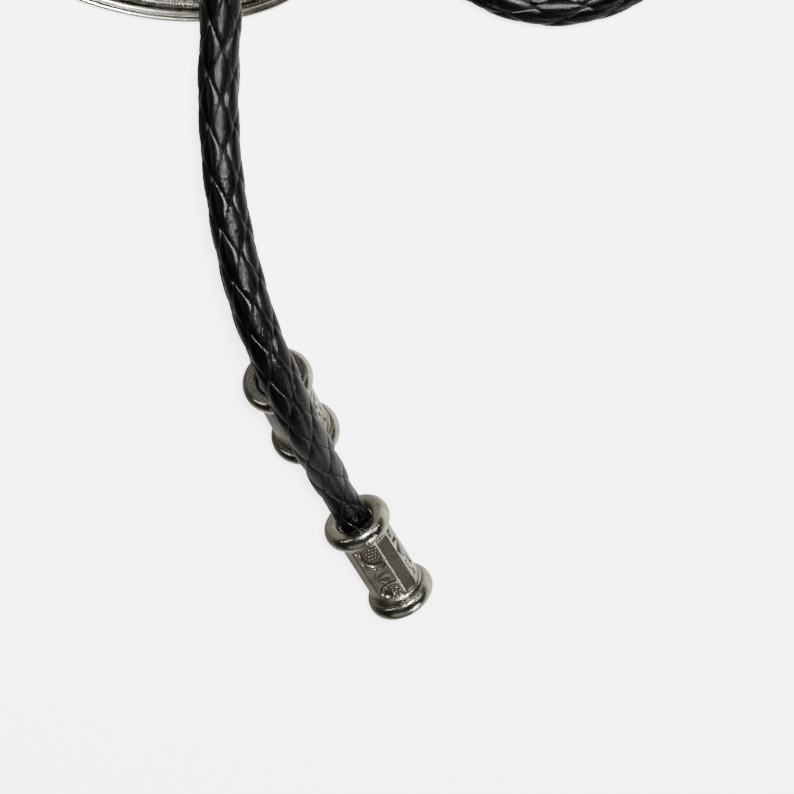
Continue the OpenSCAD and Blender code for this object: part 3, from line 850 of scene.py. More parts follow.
@dataclass
class BraidedCord:
    """An eight-lace round braid over a core, one over and one under."""

    line: CordLine
    diameter: float = 5.5
    end_diameter: float = 4.8
    laces_each_way: int = 4
    patch_l: float = 6.8
    stretched_patch_l: float = 8.0
    lace_w: float = 3.55
    lace_t: float = 0.7
    core_r: float = 1.95
    dive: float = 0.25
    crisp: float = 2.4
    crest_at: Triple = (-23.2, 53.3, 14.7)
    crest_turn: float = 15.0
    top_at: Triple = (-16, 14.2, 22.3)
    stretched_run: tuple[float, float] = (-16.0, 10.0)
    pressed_run: tuple[float, float] = (13.0, 24.0)
    core_step: float = 1.2
    core_sides: int = 12

    def __post_init__(self) -> None:
        """Works out the braid's phase along the cord."""
        s = self.line.s
        run = s - self.line.near(self.top_at)
        self.patch = self.patch_l + (self.stretched_patch_l - self.patch_l) * (
            1 - smooth_step(run, *self.stretched_run)
        )
        turn = TAU / (self.laces_each_way * self.patch)
        self.phase = np.concatenate([[0], np.cumsum((turn[1:] + turn[:-1]) / 2 * np.diff(s))])
        crest = self.line.near(self.crest_at)
        self.phase -= np.interp(crest, s, self.phase)
        self.zero = self._facing(crest) + math.radians(self.crest_turn)

    def _facing(self, s: float) -> float:
        """Gives the angle round the cord that faces up and towards the keeper.

        Args:
            s: Length along the cord.

        Returns:
            The angle, in radians.
        """
        _, side, cross = self.line.at(np.array([s]))
        tilt = math.radians(VIEW_TILT)
        up = np.array([0, math.sin(tilt), math.cos(tilt)])
        return math.atan2(float(cross[0] @ up), float(side[0] @ up))

    def radius_share(self, s: np.ndarray) -> np.ndarray:
        """Gives how much the cord keeps of its radius; its ends are pressed thinner.

        Args:
            s: Lengths along the cord.

        Returns:
            The share of the radius at each length.
        """
        ends = np.minimum(s - self.line.s[0], self.line.s[-1] - s)
        small = self.end_diameter / self.diameter
        return small + (1 - small) * smooth_step(ends, *self.pressed_run)

    def lace(self, skin: Skin, index: int, lay: Lay, start: float, end: float, step: float) -> None:
        """Adds one lace between two lengths along the cord.

        Args:
            skin: Where the lace is added.
            index: Which of the laces that wind the same way.
            lay: Which way it winds.
            start: Length along the cord where it starts.
            end: Length along the cord where it ends.
            step: Spacing of its rows.
        """
        s = np.linspace(start, end, max(int((end - start) / step), 8))[:, None]
        hand = lay.value
        psi = hand * np.interp(s, self.line.s, self.phase) + TAU * index / self.laces_each_way
        outer = self.diameter / 2 - self.lace_t / 2
        across, crown = LACE_ACROSS, LACE_CROWN
        # Pale cut-edge mark on the lace's sides: partly the lighter raw cut side, partly a painted
        # highlight where the edge catches light.
        wear = np.where(np.abs(across) > 0.95, 1.0, np.where(np.abs(across) > 0.9, 0.5, 0.0))
        slope = np.arctan(
            outer * np.gradient(psi[:, 0], s[:, 0])[:, None]
        )
        off = across[None, :] * self.lace_w / 2
        keep = self.radius_share(s)
        at = s - off * np.sin(slope)
        bare = psi + off * np.cos(slope) / outer
        # Each point rises or dives with the laces that cross it there, not with its own row.
        met = bare + hand * np.interp(at, self.line.s, self.phase)
        level = hand * np.cos(self.laces_each_way * met / 2 + math.pi * index)
        level = np.tanh(self.crisp * level) / math.tanh(self.crisp)
        lift = outer - self.dive + self.dive * level
        angle = bare + self.zero
        sag = 1 - 0.02 * np.abs(across[None, :]) ** 2
        r = (lift * sag + crown[None, :] * self.lace_t) * keep
        centre, side, cross = self.line.at(at)
        points = centre + r[..., None] * (
            np.cos(angle)[..., None] * side + np.sin(angle)[..., None] * cross
        )
        rows = np.broadcast_to(s, angle.shape)
        uv = np.stack([np.broadcast_to(across[None, :], angle.shape) * 1.0, rows], -1)
        skin.grid(points, around=True, hollow=wear[None, :], uv=uv)

    def core(self, skin: Skin, start: float, end: float) -> None:
        """Adds the dark core that closes the gaps between laces.

        Args:
            skin: Where the core is added.
            start: Length along the cord where it starts.
            end: Length along the cord where it ends.
        """
        s = np.linspace(start, end, int((end - start) / self.core_step))[:, None]
        angle = np.linspace(0, TAU, self.core_sides, endpoint=False)[None, :] + 0 * s
        centre, side, cross = self.line.at(s + 0 * angle)
        r = (self.core_r * self.radius_share(s))[..., None]
        skin.grid(
            centre + r * (np.cos(angle)[..., None] * side + np.sin(angle)[..., None] * cross),
            around=True,
        )

    def stretch(
        self,
        name: str,
        node: str,
        start: float,
        end: float,
        exit_at: Triple,
        finishes: FinishSet,
        step: float,
    ) -> bpy.types.Object:
        """Makes one stretch of the cord and hides the node that it stands for.

        Args:
            name: Name of the piece.
            node: Node of the frame that it stands for.
            start: Length along the cord where it starts.
            end: Length along the cord where it ends.
            exit_at: Table point where it leaves the keeper; not used.
            finishes: The keychain's finishes.
            step: Spacing of the laces' rows.

        Returns:
            The piece.
        """
        skin = Skin()
        self.core(skin, start, end)
        for lay in Lay:
            for index in range(self.laces_each_way):
                self.lace(skin, index, lay, start, end, step)
        piece = skin.make(name, "cord", finishes.leather)
        sharpen(piece, 50)
        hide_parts(node)
        LOG.info("%s: %.0f mm long", name, end - start)
        return piece

    def build(self, finishes: FinishSet) -> None:
        """Makes the front tail, the wrist loop and the rear tail.

        Args:
            finishes: The keychain's finishes.
        """
        line = self.line
        last = line.s[-1]
        below, above = KEEPER_Y, KEEPER_Y + KEEPER_L
        self.stretch(
            "braid_front_tail", "front_tail", 0.0, line.up_join,
            (LEFT_X, below, STRAND_H), finishes, 0.32,
        )
        self.stretch(
            "braid_wrist_loop", "wrist_loop", line.up_join, line.down_join,
            (LEFT_X, above, STRAND_H), finishes, 0.5,
        )
        self.stretch(
            "braid_rear_tail", "rear_tail", line.down_join, last,
            (RIGHT_X, below, STRAND_H), finishes, 0.4,
        )


# ------------------------------------------------------------------------------------------
# Spool tips
# ------------------------------------------------------------------------------------------
# Rows of a tip's turned profile: radius, length from the entry face, and tarnish.
UPPER_COLLAR = (
    (4.1, 2.62, 0.6), (3.82, 2.66, 0.8), (3.95, 2.72, 0.5),
    (4.05, 2.85, 0.2), (4.07, 3.02, 0.15), (4.0, 3.2, 0.35),
)
LOWER_COLLAR = (
    (4.0, 14.2, 0.35), (4.07, 14.38, 0.15), (4.05, 14.55, 0.2),
    (3.95, 14.68, 0.5), (3.82, 14.74, 0.8), (4.1, 14.78, 0.6),
)
FREE_FACE = (
    (3.9, 17.4, 0.2), (3.2, 17.36, 0.25), (2.0, 17.3, 0.35), (0.9, 17.27, 0.4), (0.05, 17.26, 0.4),
)


@dataclass
class SpoolTip:
    """A cast spool: two rounded flanges and an eight-sided body with relief panels."""

    name: str
    node: str
    place: TipPlace
    panel_d: float = 3.45
    facet_d: float = 3.7
    bore_r: float = 2.67
    face_r: float = 4.25
    flange_r: float = 5.0
    relief: float = 0.3
    panel_steps: int = 44
    facet_steps: int = 12
    neck_r: float = 3.86
    body_from: float = 3.3
    body_l: float = 10.8
    body_rows: int = 100
    body_blend: float = 0.45
    upper_flange: tuple[float, float] = (0.0, 2.6)
    lower_flange: tuple[float, float] = (14.8, 17.4)

    @property
    def crease(self) -> float:
        """Angle from a panel's middle to its edge."""
        across = self.facet_d * math.sqrt(2) - self.panel_d
        return math.atan2(across, self.panel_d)

    def angles(self) -> np.ndarray:
        """Gives the angles round the tip, with one on every crease.

        Returns:
            The angles, in radians.
        """
        parts = []
        for quarter in range(4):
            middle = quarter * TAU / 4
            parts.append(
                middle + np.linspace(-self.crease, self.crease, self.panel_steps, endpoint=False)
            )
            parts.append(
                middle
                + np.linspace(self.crease, TAU / 4 - self.crease, self.facet_steps, endpoint=False)
            )
        return np.concatenate(parts)

    def _scroll(self, u: np.ndarray, v: np.ndarray) -> tuple[np.ndarray, np.ndarray]:
        """Gives height and tarnish of the scroll relief.

        Args:
            u: Place across the panel, from its middle.
            v: Place along the panel, from its upper end.

        Returns:
            The height above the recessed ground, from 0 to 1, and the tarnish.
        """
        height = np.full_like(u, 0.62)
        # Beaded hollow at the top, with a deep crescent and a fine groove round it.
        inner = np.hypot((u + 0.7) / 1.45, (v - 1.7) / 1.75)
        outer = np.hypot((u + 0.35) / 1.7, (v - 2.0) / 2.1)
        height -= 0.22 * (1 - smooth_step(inner, 0.85, 1.0))
        for row in range(4):
            for k in range(4):
                bu, bv = -1.45 + 0.5 * k + 0.22 * (row % 2), 0.75 + 0.55 * row
                height += 0.55 * np.exp(-((u - bu) ** 2 + (v - bv) ** 2) / 0.03)
        cut = smooth_step(inner, 1.0, 1.08) * (1 - smooth_step(outer, 0.93, 1.0))
        cut = cut * smooth_step(u + 0.8 * v, 1.2, 1.9)
        height -= 0.95 * cut
        groove = np.abs(outer - 1.22)
        height -= 0.4 * (1 - smooth_step(groove, 0.02, 0.08)) * smooth_step(u + v, 1.6, 2.6)
        # Fan of petals that spreads from the right edge.
        fan_u, fan_v = u - 1.25, v - 6.3
        reach = np.hypot(fan_u, fan_v)
        spread = np.arctan2(fan_v, -fan_u)
        inside = (1 - smooth_step(reach, 2.3, 2.6)) * smooth_step(reach, 0.25, 0.5)
        inside = inside * (1 - smooth_step(np.abs(spread), 0.95, 1.1))
        height += inside * (0.4 * np.abs(np.cos(4.5 * spread)) ** 0.6 - 0.18)
        # Long leaf below the fan, and a curled end round a dark oval.
        leaf = np.abs(v - 8.1 - 0.35 * u - 0.18 * u**2)
        height += 0.36 * (1 - smooth_step(leaf, 0.22, 0.42)) * (1 - smooth_step(u, 0.9, 1.3))
        oval = np.hypot((u - 0.6) / 0.68, (v - 9.55) / 0.72)
        recess = 1 - smooth_step(oval, 0.8, 1.0)
        height += 0.38 * (1 - smooth_step(np.abs(oval - 1.3), 0.12, 0.3))
        height -= 0.95 * recess
        for bu, bv in ((-0.9, 8.9), (-1.25, 9.5), (-0.65, 9.6), (-1.0, 10.2), (-0.35, 10.3)):
            height += 0.42 * np.exp(-((u - bu) ** 2 + (v - bv) ** 2) / 0.04)
        # Plain borders.
        edge = smooth_step(np.abs(u), 1.5, 1.68)
        height = height * (1 - edge) + 0.66 * edge
        ends = smooth_step(np.abs(v - 5.4), 4.95, 5.25)
        height = height * (1 - ends) + 0.8 * ends
        height = np.clip(height, 0, 1.15)
        tarnish = np.clip(0.92 - 0.72 * height, 0.1, 1) + 0.4 * cut + 0.3 * recess
        return height, np.clip(tarnish, 0, 1)

    def _pierced(self, u: np.ndarray, v: np.ndarray) -> tuple[np.ndarray, np.ndarray]:
        """Gives height and tarnish of the cut-out relief, with the same arguments.

        Args:
            u: Place across the panel, from its middle.
            v: Place along the panel, from its upper end.

        Returns:
            The height, from 0 to 1, and the tarnish.
        """
        height = np.ones_like(u)

        def cut(amount: np.ndarray) -> None:
            """Sinks the ground by the amount given."""
            nonlocal height
            height = height - amount

        cut(1 - smooth_step(np.hypot((u - 0.45) / 0.75, (v - 1.25) / 0.9), 0.9, 1.05))
        dash = np.maximum(np.abs(u - 0.1) / 0.95, np.abs(v - 3.1 + 0.4 * u) / 0.34)
        cut(1 - smooth_step(dash, 0.85, 1.1))
        tall = (v - 4.0) / 2.7
        wedge = np.abs(u - 0.2) / np.maximum(1.35 * (1 - tall), 0.02)
        wedge = np.where((tall > 0) & (tall < 1), wedge, 2)
        cut(1 - smooth_step(wedge, 0.85, 1.1))
        for shift in (-0.75, 0.6):
            slit = np.hypot((u - shift + 0.12 * (v - 8)) / 0.34, (v - 8.0) / 1.25)
            cut(1 - smooth_step(slit, 0.8, 1.1))
        cut(1 - smooth_step(np.hypot(u / 0.6, (v - 9.95) / 0.5), 0.8, 1.05))
        height = np.clip(height, 0, 1)
        return height, 1 - height

    def body_ring(
        self, angles: np.ndarray, along: np.ndarray
    ) -> tuple[np.ndarray, np.ndarray]:
        """Gives radius and tarnish over the body, for rows of lengths along it.

        Args:
            angles: Angles round the tip.
            along: Lengths along the body.

        Returns:
            The radii and the tarnish.
        """
        theta, v = np.meshgrid(angles, along)
        quarter = np.round(theta / (TAU / 4))
        local = theta - quarter * TAU / 4
        on_panel = np.abs(local) <= self.crease + 1e-9
        panel_r = self.panel_d / np.cos(local)
        facet_local = np.abs(local) - TAU / 8
        facet_r = self.facet_d / np.cos(facet_local)
        u = self.panel_d * np.tan(np.where(on_panel, local, 0))
        scroll_h, scroll_t = self._scroll(u, v)
        pierced_h, pierced_t = self._pierced(u, v)
        even = (quarter.astype(int) % 2) == 0
        height = np.where(even, scroll_h, pierced_h)
        tarnish = np.where(even, scroll_t, pierced_t)
        sunk = (1 - height) * self.relief
        radius = np.where(on_panel, panel_r - sunk / np.cos(local), facet_r)
        tarnish = np.where(on_panel, tarnish, 0.55)
        return radius, tarnish

    def outline(self) -> list[Triple]:
        """Gives the round parts: radius, length and tarnish from the bore to the neck.

        Returns:
            The rows of the profile.
        """
        rows: list[Triple] = []
        rows += [(self.bore_r, z, 0.9) for z in (4.0, 2.0, 0.8, 0.42)]
        rows += [(self.bore_r + 0.18, 0.2, 0.62), (self.bore_r + 0.42, 0.05, 0.3)]
        rows += [(r, 0.0, 0.2) for r in (self.bore_r + 0.62, 3.7, 4.0)]
        rows += self._round_edge(*self.upper_flange)
        return rows

    def _round_edge(self, low: float, high: float) -> list[Triple]:
        """Gives a flange's full round edge between two faces.

        Args:
            low: Length of its first face.
            high: Length of its second face.

        Returns:
            The rows of the profile.
        """
        half = (high - low) / 2
        middle = (high + low) / 2
        rows = []
        for k in range(23):
            angle = -math.pi / 2 + math.pi * k / 22
            bulge = math.copysign(abs(math.cos(angle)) ** 0.86, math.cos(angle))
            r = self.face_r - 0.15 + (self.flange_r - self.face_r + 0.15) * bulge
            z = middle + half * math.sin(angle)
            rows.append((r, z, 0.12 + 0.18 * max(0.0, abs(math.sin(angle)) - 0.8)))
        return rows

    def build(self, finishes: FinishSet) -> bpy.types.Object:
        """Makes the tip and stands it for its node.

        Args:
            finishes: The keychain's finishes.

        Returns:
            The piece.
        """
        angles = self.angles()
        skin = Skin()
        radii, lengths, stains = [], [], []

        def ring(radius: float, z: float, stain: float) -> None:
            """Adds one round row."""
            radii.append(np.full(len(angles), radius))
            lengths.append(np.full(len(angles), z))
            stains.append(np.full(len(angles), stain))

        for row in (*self.outline(), *UPPER_COLLAR):
            ring(*row)
        body = np.linspace(0, self.body_l, self.body_rows)
        radius, stain = self.body_ring(angles, body)
        ends = np.minimum(body, self.body_l - body) / self.body_blend
        blend = np.clip(ends, 0, 1)[:, None]
        radius = self.neck_r + (radius - self.neck_r) * smooth_step(blend, 0, 1)
        stain = np.maximum(stain, 0.75 * (1 - blend))
        radii += list(radius)
        stains += list(stain)
        lengths += [np.full(len(angles), self.body_from + z) for z in body]
        for row in (*LOWER_COLLAR, *self._round_edge(*self.lower_flange), *FREE_FACE):
            ring(*row)
        radii_a, lengths_a = np.array(radii), np.array(lengths)
        points = np.stack(
            [radii_a * np.cos(angles), radii_a * np.sin(angles), lengths_a], -1
        )
        skin.grid(self.place.lay(points), around=True, hollow=np.array(stains))
        piece = skin.make(self.name, "cord", finishes.cast)
        sharpen(piece, 38)
        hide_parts(self.node)
        LOG.info("%s built", self.name)
        return piece


# ------------------------------------------------------------------------------------------
# Medallion
# ------------------------------------------------------------------------------------------
@dataclass
class Medallion:
    """Oval medallion: stepped rim, roped border, pierced plate, boss and rivets."""

    width: float = 52.0
    height: float = 31.0
    turn: float = -15.0
    middle: tuple[float, float] = (-33.83637, 72.61837)
    rim_w: float = 2.1
    rope_r: float = 0.42
    rope_lay: float = 0.39
    plate_z: float = 2.2
    back_z: float = 1.2
    petals: int = 10
    eyelets: int = 16
    eyelet_d: float = 1.8
    border_w: float = 1.1
    fit: float = 0.05
    eyelet_gap: float = 0.5

    @property
    def eyelet_oval(self) -> tuple[float, float]:
        """Half width and half height of the oval that eyelets and rivets stand on."""
        inset = self.rim_w + self.fit + self.border_w + self.eyelet_d / 2 + self.eyelet_gap
        return self.width / 2 - inset, self.height / 2 - inset

    def lay(self, points: np.ndarray) -> np.ndarray:
        """Lays points built round the medallion's own middle at its place.

        Args:
            points: Points to lay.

        Returns:
            The points on the table.
        """
        a = math.radians(self.turn)
        turn = np.array([[math.cos(a), -math.sin(a), 0], [math.sin(a), math.cos(a), 0], [0, 0, 1]])
        return points @ turn.T + np.array([*self.middle, 0.0])

    def oval(self, inset: np.ndarray | float, t: np.ndarray) -> np.ndarray:
        """Gives points on the oval, inset evenly from its edge.

        Args:
            inset: Distance in from the edge.
            t: Angles of the points.

        Returns:
            The points.
        """
        a, b = self.width / 2, self.height / 2
        x, y = a * np.cos(t), b * np.sin(t)
        nx, ny = np.cos(t) / a, np.sin(t) / b
        size = np.hypot(nx, ny)
        return np.stack([x - inset * nx / size, y - inset * ny / size], -1)

    def band(
        self, profile: list[Triple], steps: int = 360
    ) -> tuple[np.ndarray, np.ndarray]:
        """Sweeps a profile of inset, height and tarnish round the oval.

        Args:
            profile: Rows of inset, height and tarnish.
            steps: Points round the oval.

        Returns:
            The points and their tarnish.
        """
        t = np.linspace(0, TAU, steps, endpoint=False)
        rows, stains = [], []
        for inset, z, stain in profile:
            xy = self.oval(inset, t)
            rows.append(np.column_stack([xy, np.full(steps, z)]))
            stains.append(np.full(steps, stain))
        return np.array(rows), np.array(stains)

    def rim(self, finishes: FinishSet) -> None:
        """Makes the stepped rim: outer bead, groove and taller inner bead.

        Args:
            finishes: The keychain's finishes.
        """
        profile = [(0.5, 0.02, 0.5), (0.15, 0.0, 0.4), (0.0, 0.2, 0.35), (0.0, 1.5, 0.3)]
        profile += [(0.03, 1.9, 0.2), (0.12, 2.2, 0.1), (0.27, 2.42, 0.0), (0.45, 2.5, 0.0)]
        profile += [(0.62, 2.44, 0.0), (0.74, 2.3, 0.25), (0.84, 2.12, 0.7), (0.94, 2.1, 0.85)]
        profile += [(1.04, 2.14, 0.8), (1.12, 2.4, 0.45), (1.18, 2.75, 0.2), (1.26, 3.0, 0.05)]
        profile += [(1.38, 3.15, 0.0), (1.53, 3.2, 0.0), (1.68, 3.14, 0.0), (1.8, 2.98, 0.1)]
        profile += [(1.88, 2.7, 0.5), (1.95, 2.4, 0.85), (2.02, 2.2, 1.0), (2.1, 2.0, 1.0)]
        profile += [(2.1, 0.3, 0.8), (1.9, 0.0, 0.6), (1.2, 0.0, 0.5)]
        points, stain = self.band(profile)
        skin = Skin()
        skin.grid(self.lay(points), around=True, along=True, hollow=stain)
        piece = skin.make("medallion_stepped_rim", "medallion", finishes.nickel)
        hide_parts("medallion_rim")

    def rope(self, finishes: FinishSet) -> None:
        """Makes the roped border inside the rim.

        Args:
            finishes: The keychain's finishes.
        """
        inset = self.rim_w + 0.1 + self.rope_r
        steps = 3600
        t = np.linspace(0, TAU, steps, endpoint=False)
        centre = self.oval(inset, t)
        length = np.concatenate(
            [[0], np.cumsum(np.linalg.norm(np.diff(centre, axis=0), axis=1))]
        )
        total = length[-1] + np.linalg.norm(centre[0] - centre[-1])
        turns = round(total / self.rope_lay)
        out = unit(np.roll(centre, 1, 0) - np.roll(centre, -1, 0))
        normal = np.stack([out[:, 1], -out[:, 0]], -1)
        around = np.linspace(0, TAU, 10, endpoint=False)
        spin = TAU * turns * length / total
        lobes = 1 + 0.2 * np.cos(around[None, :] - spin[:, None])
        r = self.rope_r * lobes
        x = r * np.cos(around)[None, :]
        z = r * np.sin(around)[None, :] + self.plate_z + 0.2
        xy = centre[:, None, :] + x[..., None] * normal[:, None, :]
        points = np.concatenate([xy, z[..., None]], -1)
        stain = np.clip(0.85 - 1.1 * (lobes - 0.8) / 0.4 * np.sin(around)[None, :], 0.0, 1.0)
        skin = Skin()
        skin.grid(self.lay(points), around=True, along=True, hollow=stain, flip=True)
        piece = skin.make("medallion_roped_border", "medallion", finishes.nickel)
        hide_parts("medallion_border")

    def _relief(self, x: np.ndarray, y: np.ndarray, inward: np.ndarray) -> Relief:
        """Gives the plate's height and tarnish.

        Args:
            x: Place across the medallion.
            y: Place up the medallion.
            inward: Distance in from the medallion's edge.

        Returns:
            Height over the table and tarnish.
        """
        angle = np.arctan2(y, x)
        radius = np.hypot(x, y)
        a, b = self.eyelet_oval
        reach = a * b / np.sqrt((b * np.cos(angle)) ** 2 + (a * np.sin(angle)) ** 2)
        height = np.full_like(x, self.plate_z)
        stain = np.full_like(x, 0.3)
        # Petals: pointed hollows between raised ribs.
        share = (angle / TAU * self.petals) % 1.0 - 0.5
        across = share * TAU / self.petals * radius
        start, stop = 4.8, reach - self.eyelet_d
        run = (radius - start) / np.maximum(stop - start, 0.1)
        half = 1.25 * np.clip(np.sqrt(np.clip(run * 5, 0, 1)), 0, 1) * np.clip(
            1.15 * (1 - run), 0, 1
        ) + 1e-3
        inside = np.where((run > 0) & (run < 1), np.abs(across) / half, 3.0)
        hole = 1 - smooth_step(inside, 0.75, 1.0)
        lip = 1 - smooth_step(np.abs(inside - 1.35), 0.1, 0.4)
        height += 0.3 * lip - (self.plate_z - self.back_z) * hole
        stain += 0.7 * hole - 0.3 * lip
        # Veined leaves between the petals.
        leaf = 1 - smooth_step(np.abs(np.abs(share) - 0.5) * TAU / self.petals * radius, 0.3, 1.5)
        leaf = leaf * smooth_step(radius, 5.2, 7.0) * (1 - smooth_step(radius - reach, -2.6, -0.9))
        height += 0.42 * leaf + 0.1 * leaf * np.cos(radius * 6.0)
        stain += 0.25 * leaf * (0.5 - 0.5 * np.cos(radius * 6.0)) - 0.12 * leaf
        # Eyelets with raised collars.
        for k in range(self.eyelets):
            t = (k + 0.5) * TAU / self.eyelets
            d = np.hypot(x - a * math.cos(t), y - b * math.sin(t))
            collar = 1 - smooth_step(np.abs(d - 1.12), 0.1, 0.32)
            dome = np.clip(1 - (d / 0.82) ** 2, 0, 1)
            moat = 1 - smooth_step(np.abs(d - 0.86), 0.04, 0.14)
            height += 0.34 * collar + 0.6 * np.sqrt(dome) - 0.5 * moat
            stain += 0.75 * moat - 0.3 * collar - 0.32 * np.sqrt(dome)
        # Small beads between the eyelets and the rope.
        along = angle / TAU * 96 % 1.0 - 0.5
        bead = np.exp(-((along * TAU / 96 * radius) ** 2 + (inward - 3.75) ** 2) / 0.05)
        height += 0.3 * bead
        stain -= 0.25 * bead
        ring = 1 - smooth_step(np.abs(radius - 4.55), 0.15, 0.4)
        height += 0.35 * ring
        stain -= 0.2 * ring
        return height, np.clip(stain, 0, 1)

    def plate(self, finishes: FinishSet) -> None:
        """Makes the pierced plate with its petals, leaves and eyelets.

        Args:
            finishes: The keychain's finishes.
        """
        t = np.linspace(0, TAU, 640, endpoint=False)
        share = np.linspace(0, 1, 120)[:, None]
        edge = self.oval(self.rim_w - self.fit, t)
        x, y = edge[:, 0] * share, edge[:, 1] * share
        inward = self.rim_w + (1 - share) * np.hypot(edge[:, 0], edge[:, 1])
        height, stain = self._relief(x, y, inward)
        skin = Skin()
        skin.grid(self.lay(np.stack([x, y, height], -1)), around=True, hollow=stain, flip=True)
        under = self.band([(self.rim_w - self.fit, self.back_z, 1.0)], 640)[0]
        outer = np.stack([x[-1:], y[-1:], height[-1:]], -1)
        side = self.lay(np.concatenate([outer, under]))
        skin.grid(side, around=True, hollow=1.0, flip=True)
        piece = skin.make("medallion_pierced_plate", "medallion", finishes.plate)
        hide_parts("medallion_plate")

    def boss(self, finishes: FinishSet) -> None:
        """Makes the fluted boss in the middle.

        Args:
            finishes: The keychain's finishes.
        """
        t = np.linspace(0, TAU, 192, endpoint=False)
        rows, stains = [], []
        profile = [(4.2, 2.2, 0.6), (4.2, 2.45, 0.2), (4.08, 2.6, 0.05), (3.8, 2.64, 0.3)]
        profile += [(3.62, 2.52, 0.85), (3.5, 2.56, 0.7), (3.35, 2.74, 0.2), (3.0, 2.98, 0.1)]
        profile += [(2.4, 3.14, 0.1), (1.9, 3.1, 0.35), (1.7, 2.98, 0.85), (1.55, 3.0, 0.7)]
        profile += [(1.35, 3.12, 0.1), (0.9, 3.19, 0.0), (0.4, 3.2, 0.0), (0.01, 3.2, 0.0)]
        for r, z, stain in profile:
            flute = 0.09 * np.cos(14 * t) * (1.8 < r < 3.4)
            rows.append(np.stack([r * np.cos(t), r * np.sin(t), z + flute], -1))
            stains.append(np.clip(stain - 3.0 * flute, 0, 1))
        skin = Skin()
        skin.grid(self.lay(np.array(rows)), around=True, hollow=np.array(stains))
        piece = skin.make("medallion_fluted_boss", "medallion", finishes.cast)
        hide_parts("medallion_boss")

    def rivets(self, finishes: FinishSet) -> None:
        """Makes the four domed rivet heads.

        Args:
            finishes: The keychain's finishes.
        """
        a, b = self.eyelet_oval
        skin = Skin()
        t = np.linspace(0, TAU, 40, endpoint=False)
        for k in range(4):
            place = TAU / 8 + k * TAU / 4
            cx, cy = a * math.cos(place), b * math.sin(place)
            rows = []
            for r, z in ((1.1, 2.15), (1.1, 2.3), (1.02, 2.42), (0.8, 2.54), (0.45, 2.62)):
                rows.append(np.stack([cx + r * np.cos(t), cy + r * np.sin(t), 0 * t + z], -1))
            rows.append(np.stack([cx + 0.01 * np.cos(t), cy + 0.01 * np.sin(t), 0 * t + 2.65], -1))
            stain = np.array([0.9, 0.4, 0.1, 0.0, 0.0, 0.0])[:, None]
            skin.grid(self.lay(np.array(rows)), around=True, hollow=stain)
        piece = skin.make("medallion_domed_rivets", "medallion", finishes.nickel)
        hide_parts("medallion_rivets")

    def build(self, finishes: FinishSet) -> None:
        """Makes every part of the medallion.

        Args:
            finishes: The keychain's finishes.
        """
        self.rim(finishes)
        self.rope(finishes)
        self.plate(finishes)
        self.boss(finishes)
        self.rivets(finishes)
        LOG.info("medallion built")


# ------------------------------------------------------------------------------------------
# Keeper
# ------------------------------------------------------------------------------------------
@dataclass
class KeeperFace:
    """Cast relief on the keeper's flat top: beaded frame, rosette and corner leaves."""

    width: float = 10.6
    length: float = 14.0
    rise: float = 0.38
    petals: int = 8
    spacing: float = 0.09

    def _relief(self, u: np.ndarray, v: np.ndarray) -> np.ndarray:
        """Gives the height, from 0 to 1, at places from the panel's middle.

        Args:
            u: Place across the panel.
            v: Place along the panel.

        Returns:
            The height.
        """
        edge = np.minimum(self.width / 2 - np.abs(u), self.length / 2 - np.abs(v))
        height = 0.25 * smooth_step(edge, 0.0, 0.15)
        height += 0.6 * (1 - smooth_step(np.abs(edge - 0.35), 0.12, 0.28))
        along = np.where(
            self.width / 2 - np.abs(u) < self.length / 2 - np.abs(v), v, u
        )
        bead = np.cos(TAU * along / 0.62) * 0.5 + 0.5
        height += 0.55 * bead * (1 - smooth_step(np.abs(edge - 1.0), 0.12, 0.3))
        reach, turn = np.hypot(u, v), np.arctan2(v, u)
        lobes = 3.0 + 0.75 * np.abs(np.cos(self.petals / 2 * turn))
        petal = (1 - smooth_step(reach, lobes - 0.5, lobes)) * smooth_step(reach, 0.9, 1.4)
        vein = np.abs(np.sin(self.petals / 2 * turn)) ** 6
        height += petal * (0.6 - 0.45 * vein)
        height += 0.75 * np.sqrt(np.clip(1 - (reach / 0.95) ** 2, 0, 1))
        leaf_u, leaf_v = np.abs(u) - 2.5, np.abs(v) - 4.5
        leaf = np.hypot((leaf_u + leaf_v) / 1.9, (leaf_u - leaf_v) / 0.95)
        ribs = 0.5 + 0.5 * np.cos(7 * (leaf_u + leaf_v) - 4 * np.abs(leaf_u - leaf_v))
        height += (1 - smooth_step(leaf, 0.8, 1.0)) * (0.5 - 0.25 * ribs)
        return np.clip(height, 0, 1)

    def build(self, finishes: FinishSet) -> None:
        """Lays the relief on the cover.

        Args:
            finishes: The keychain's finishes.
        """
        across = np.arange(-self.width / 2, self.width / 2 + 0.01, self.spacing)
        along = np.arange(-self.length / 2, self.length / 2 + 0.01, self.spacing)
        u, v = np.meshgrid(across, along)
        height = self._relief(u, v)
        top = COVER_HIGH[2] / MM
        points = np.stack(
            [KEEPER_X + u, KEEPER_Y + KEEPER_L / 2 + v, top - 0.04 + self.rise * height], -1
        )
        skin = Skin()
        skin.grid(points, hollow=np.clip(0.95 - 1.05 * height, 0, 1))
        skin.make("keeper_face_relief", "keeper", finishes.cast)


# ------------------------------------------------------------------------------------------
# Pieces that keep the frame's own shape
# ------------------------------------------------------------------------------------------
CAST_NODES = ("keeper_base", "keeper_cover")
NICKEL_NODES = (
    "charm_link", "key_link", "swivel_eye", "hook_body", "hook_gate", "medallion_bail",
)
STEEL_NODES = (
    "keeper_screws", "gate_pin", "gate_spring", "split_ring", "front_tip_sleeve",
    "rear_tip_sleeve", "medallion_back",
)
RUBBER_NODES = ("keeper_liners",)


def dress(node: str, finish: bpy.types.Material) -> None:
    """Gives a node of the frame its finish.

    Args:
        node: Name of the node.
        finish: Material that it shows.
    """
    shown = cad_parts[node]
    for seat in shown.material_slots:
        seat.material = finish


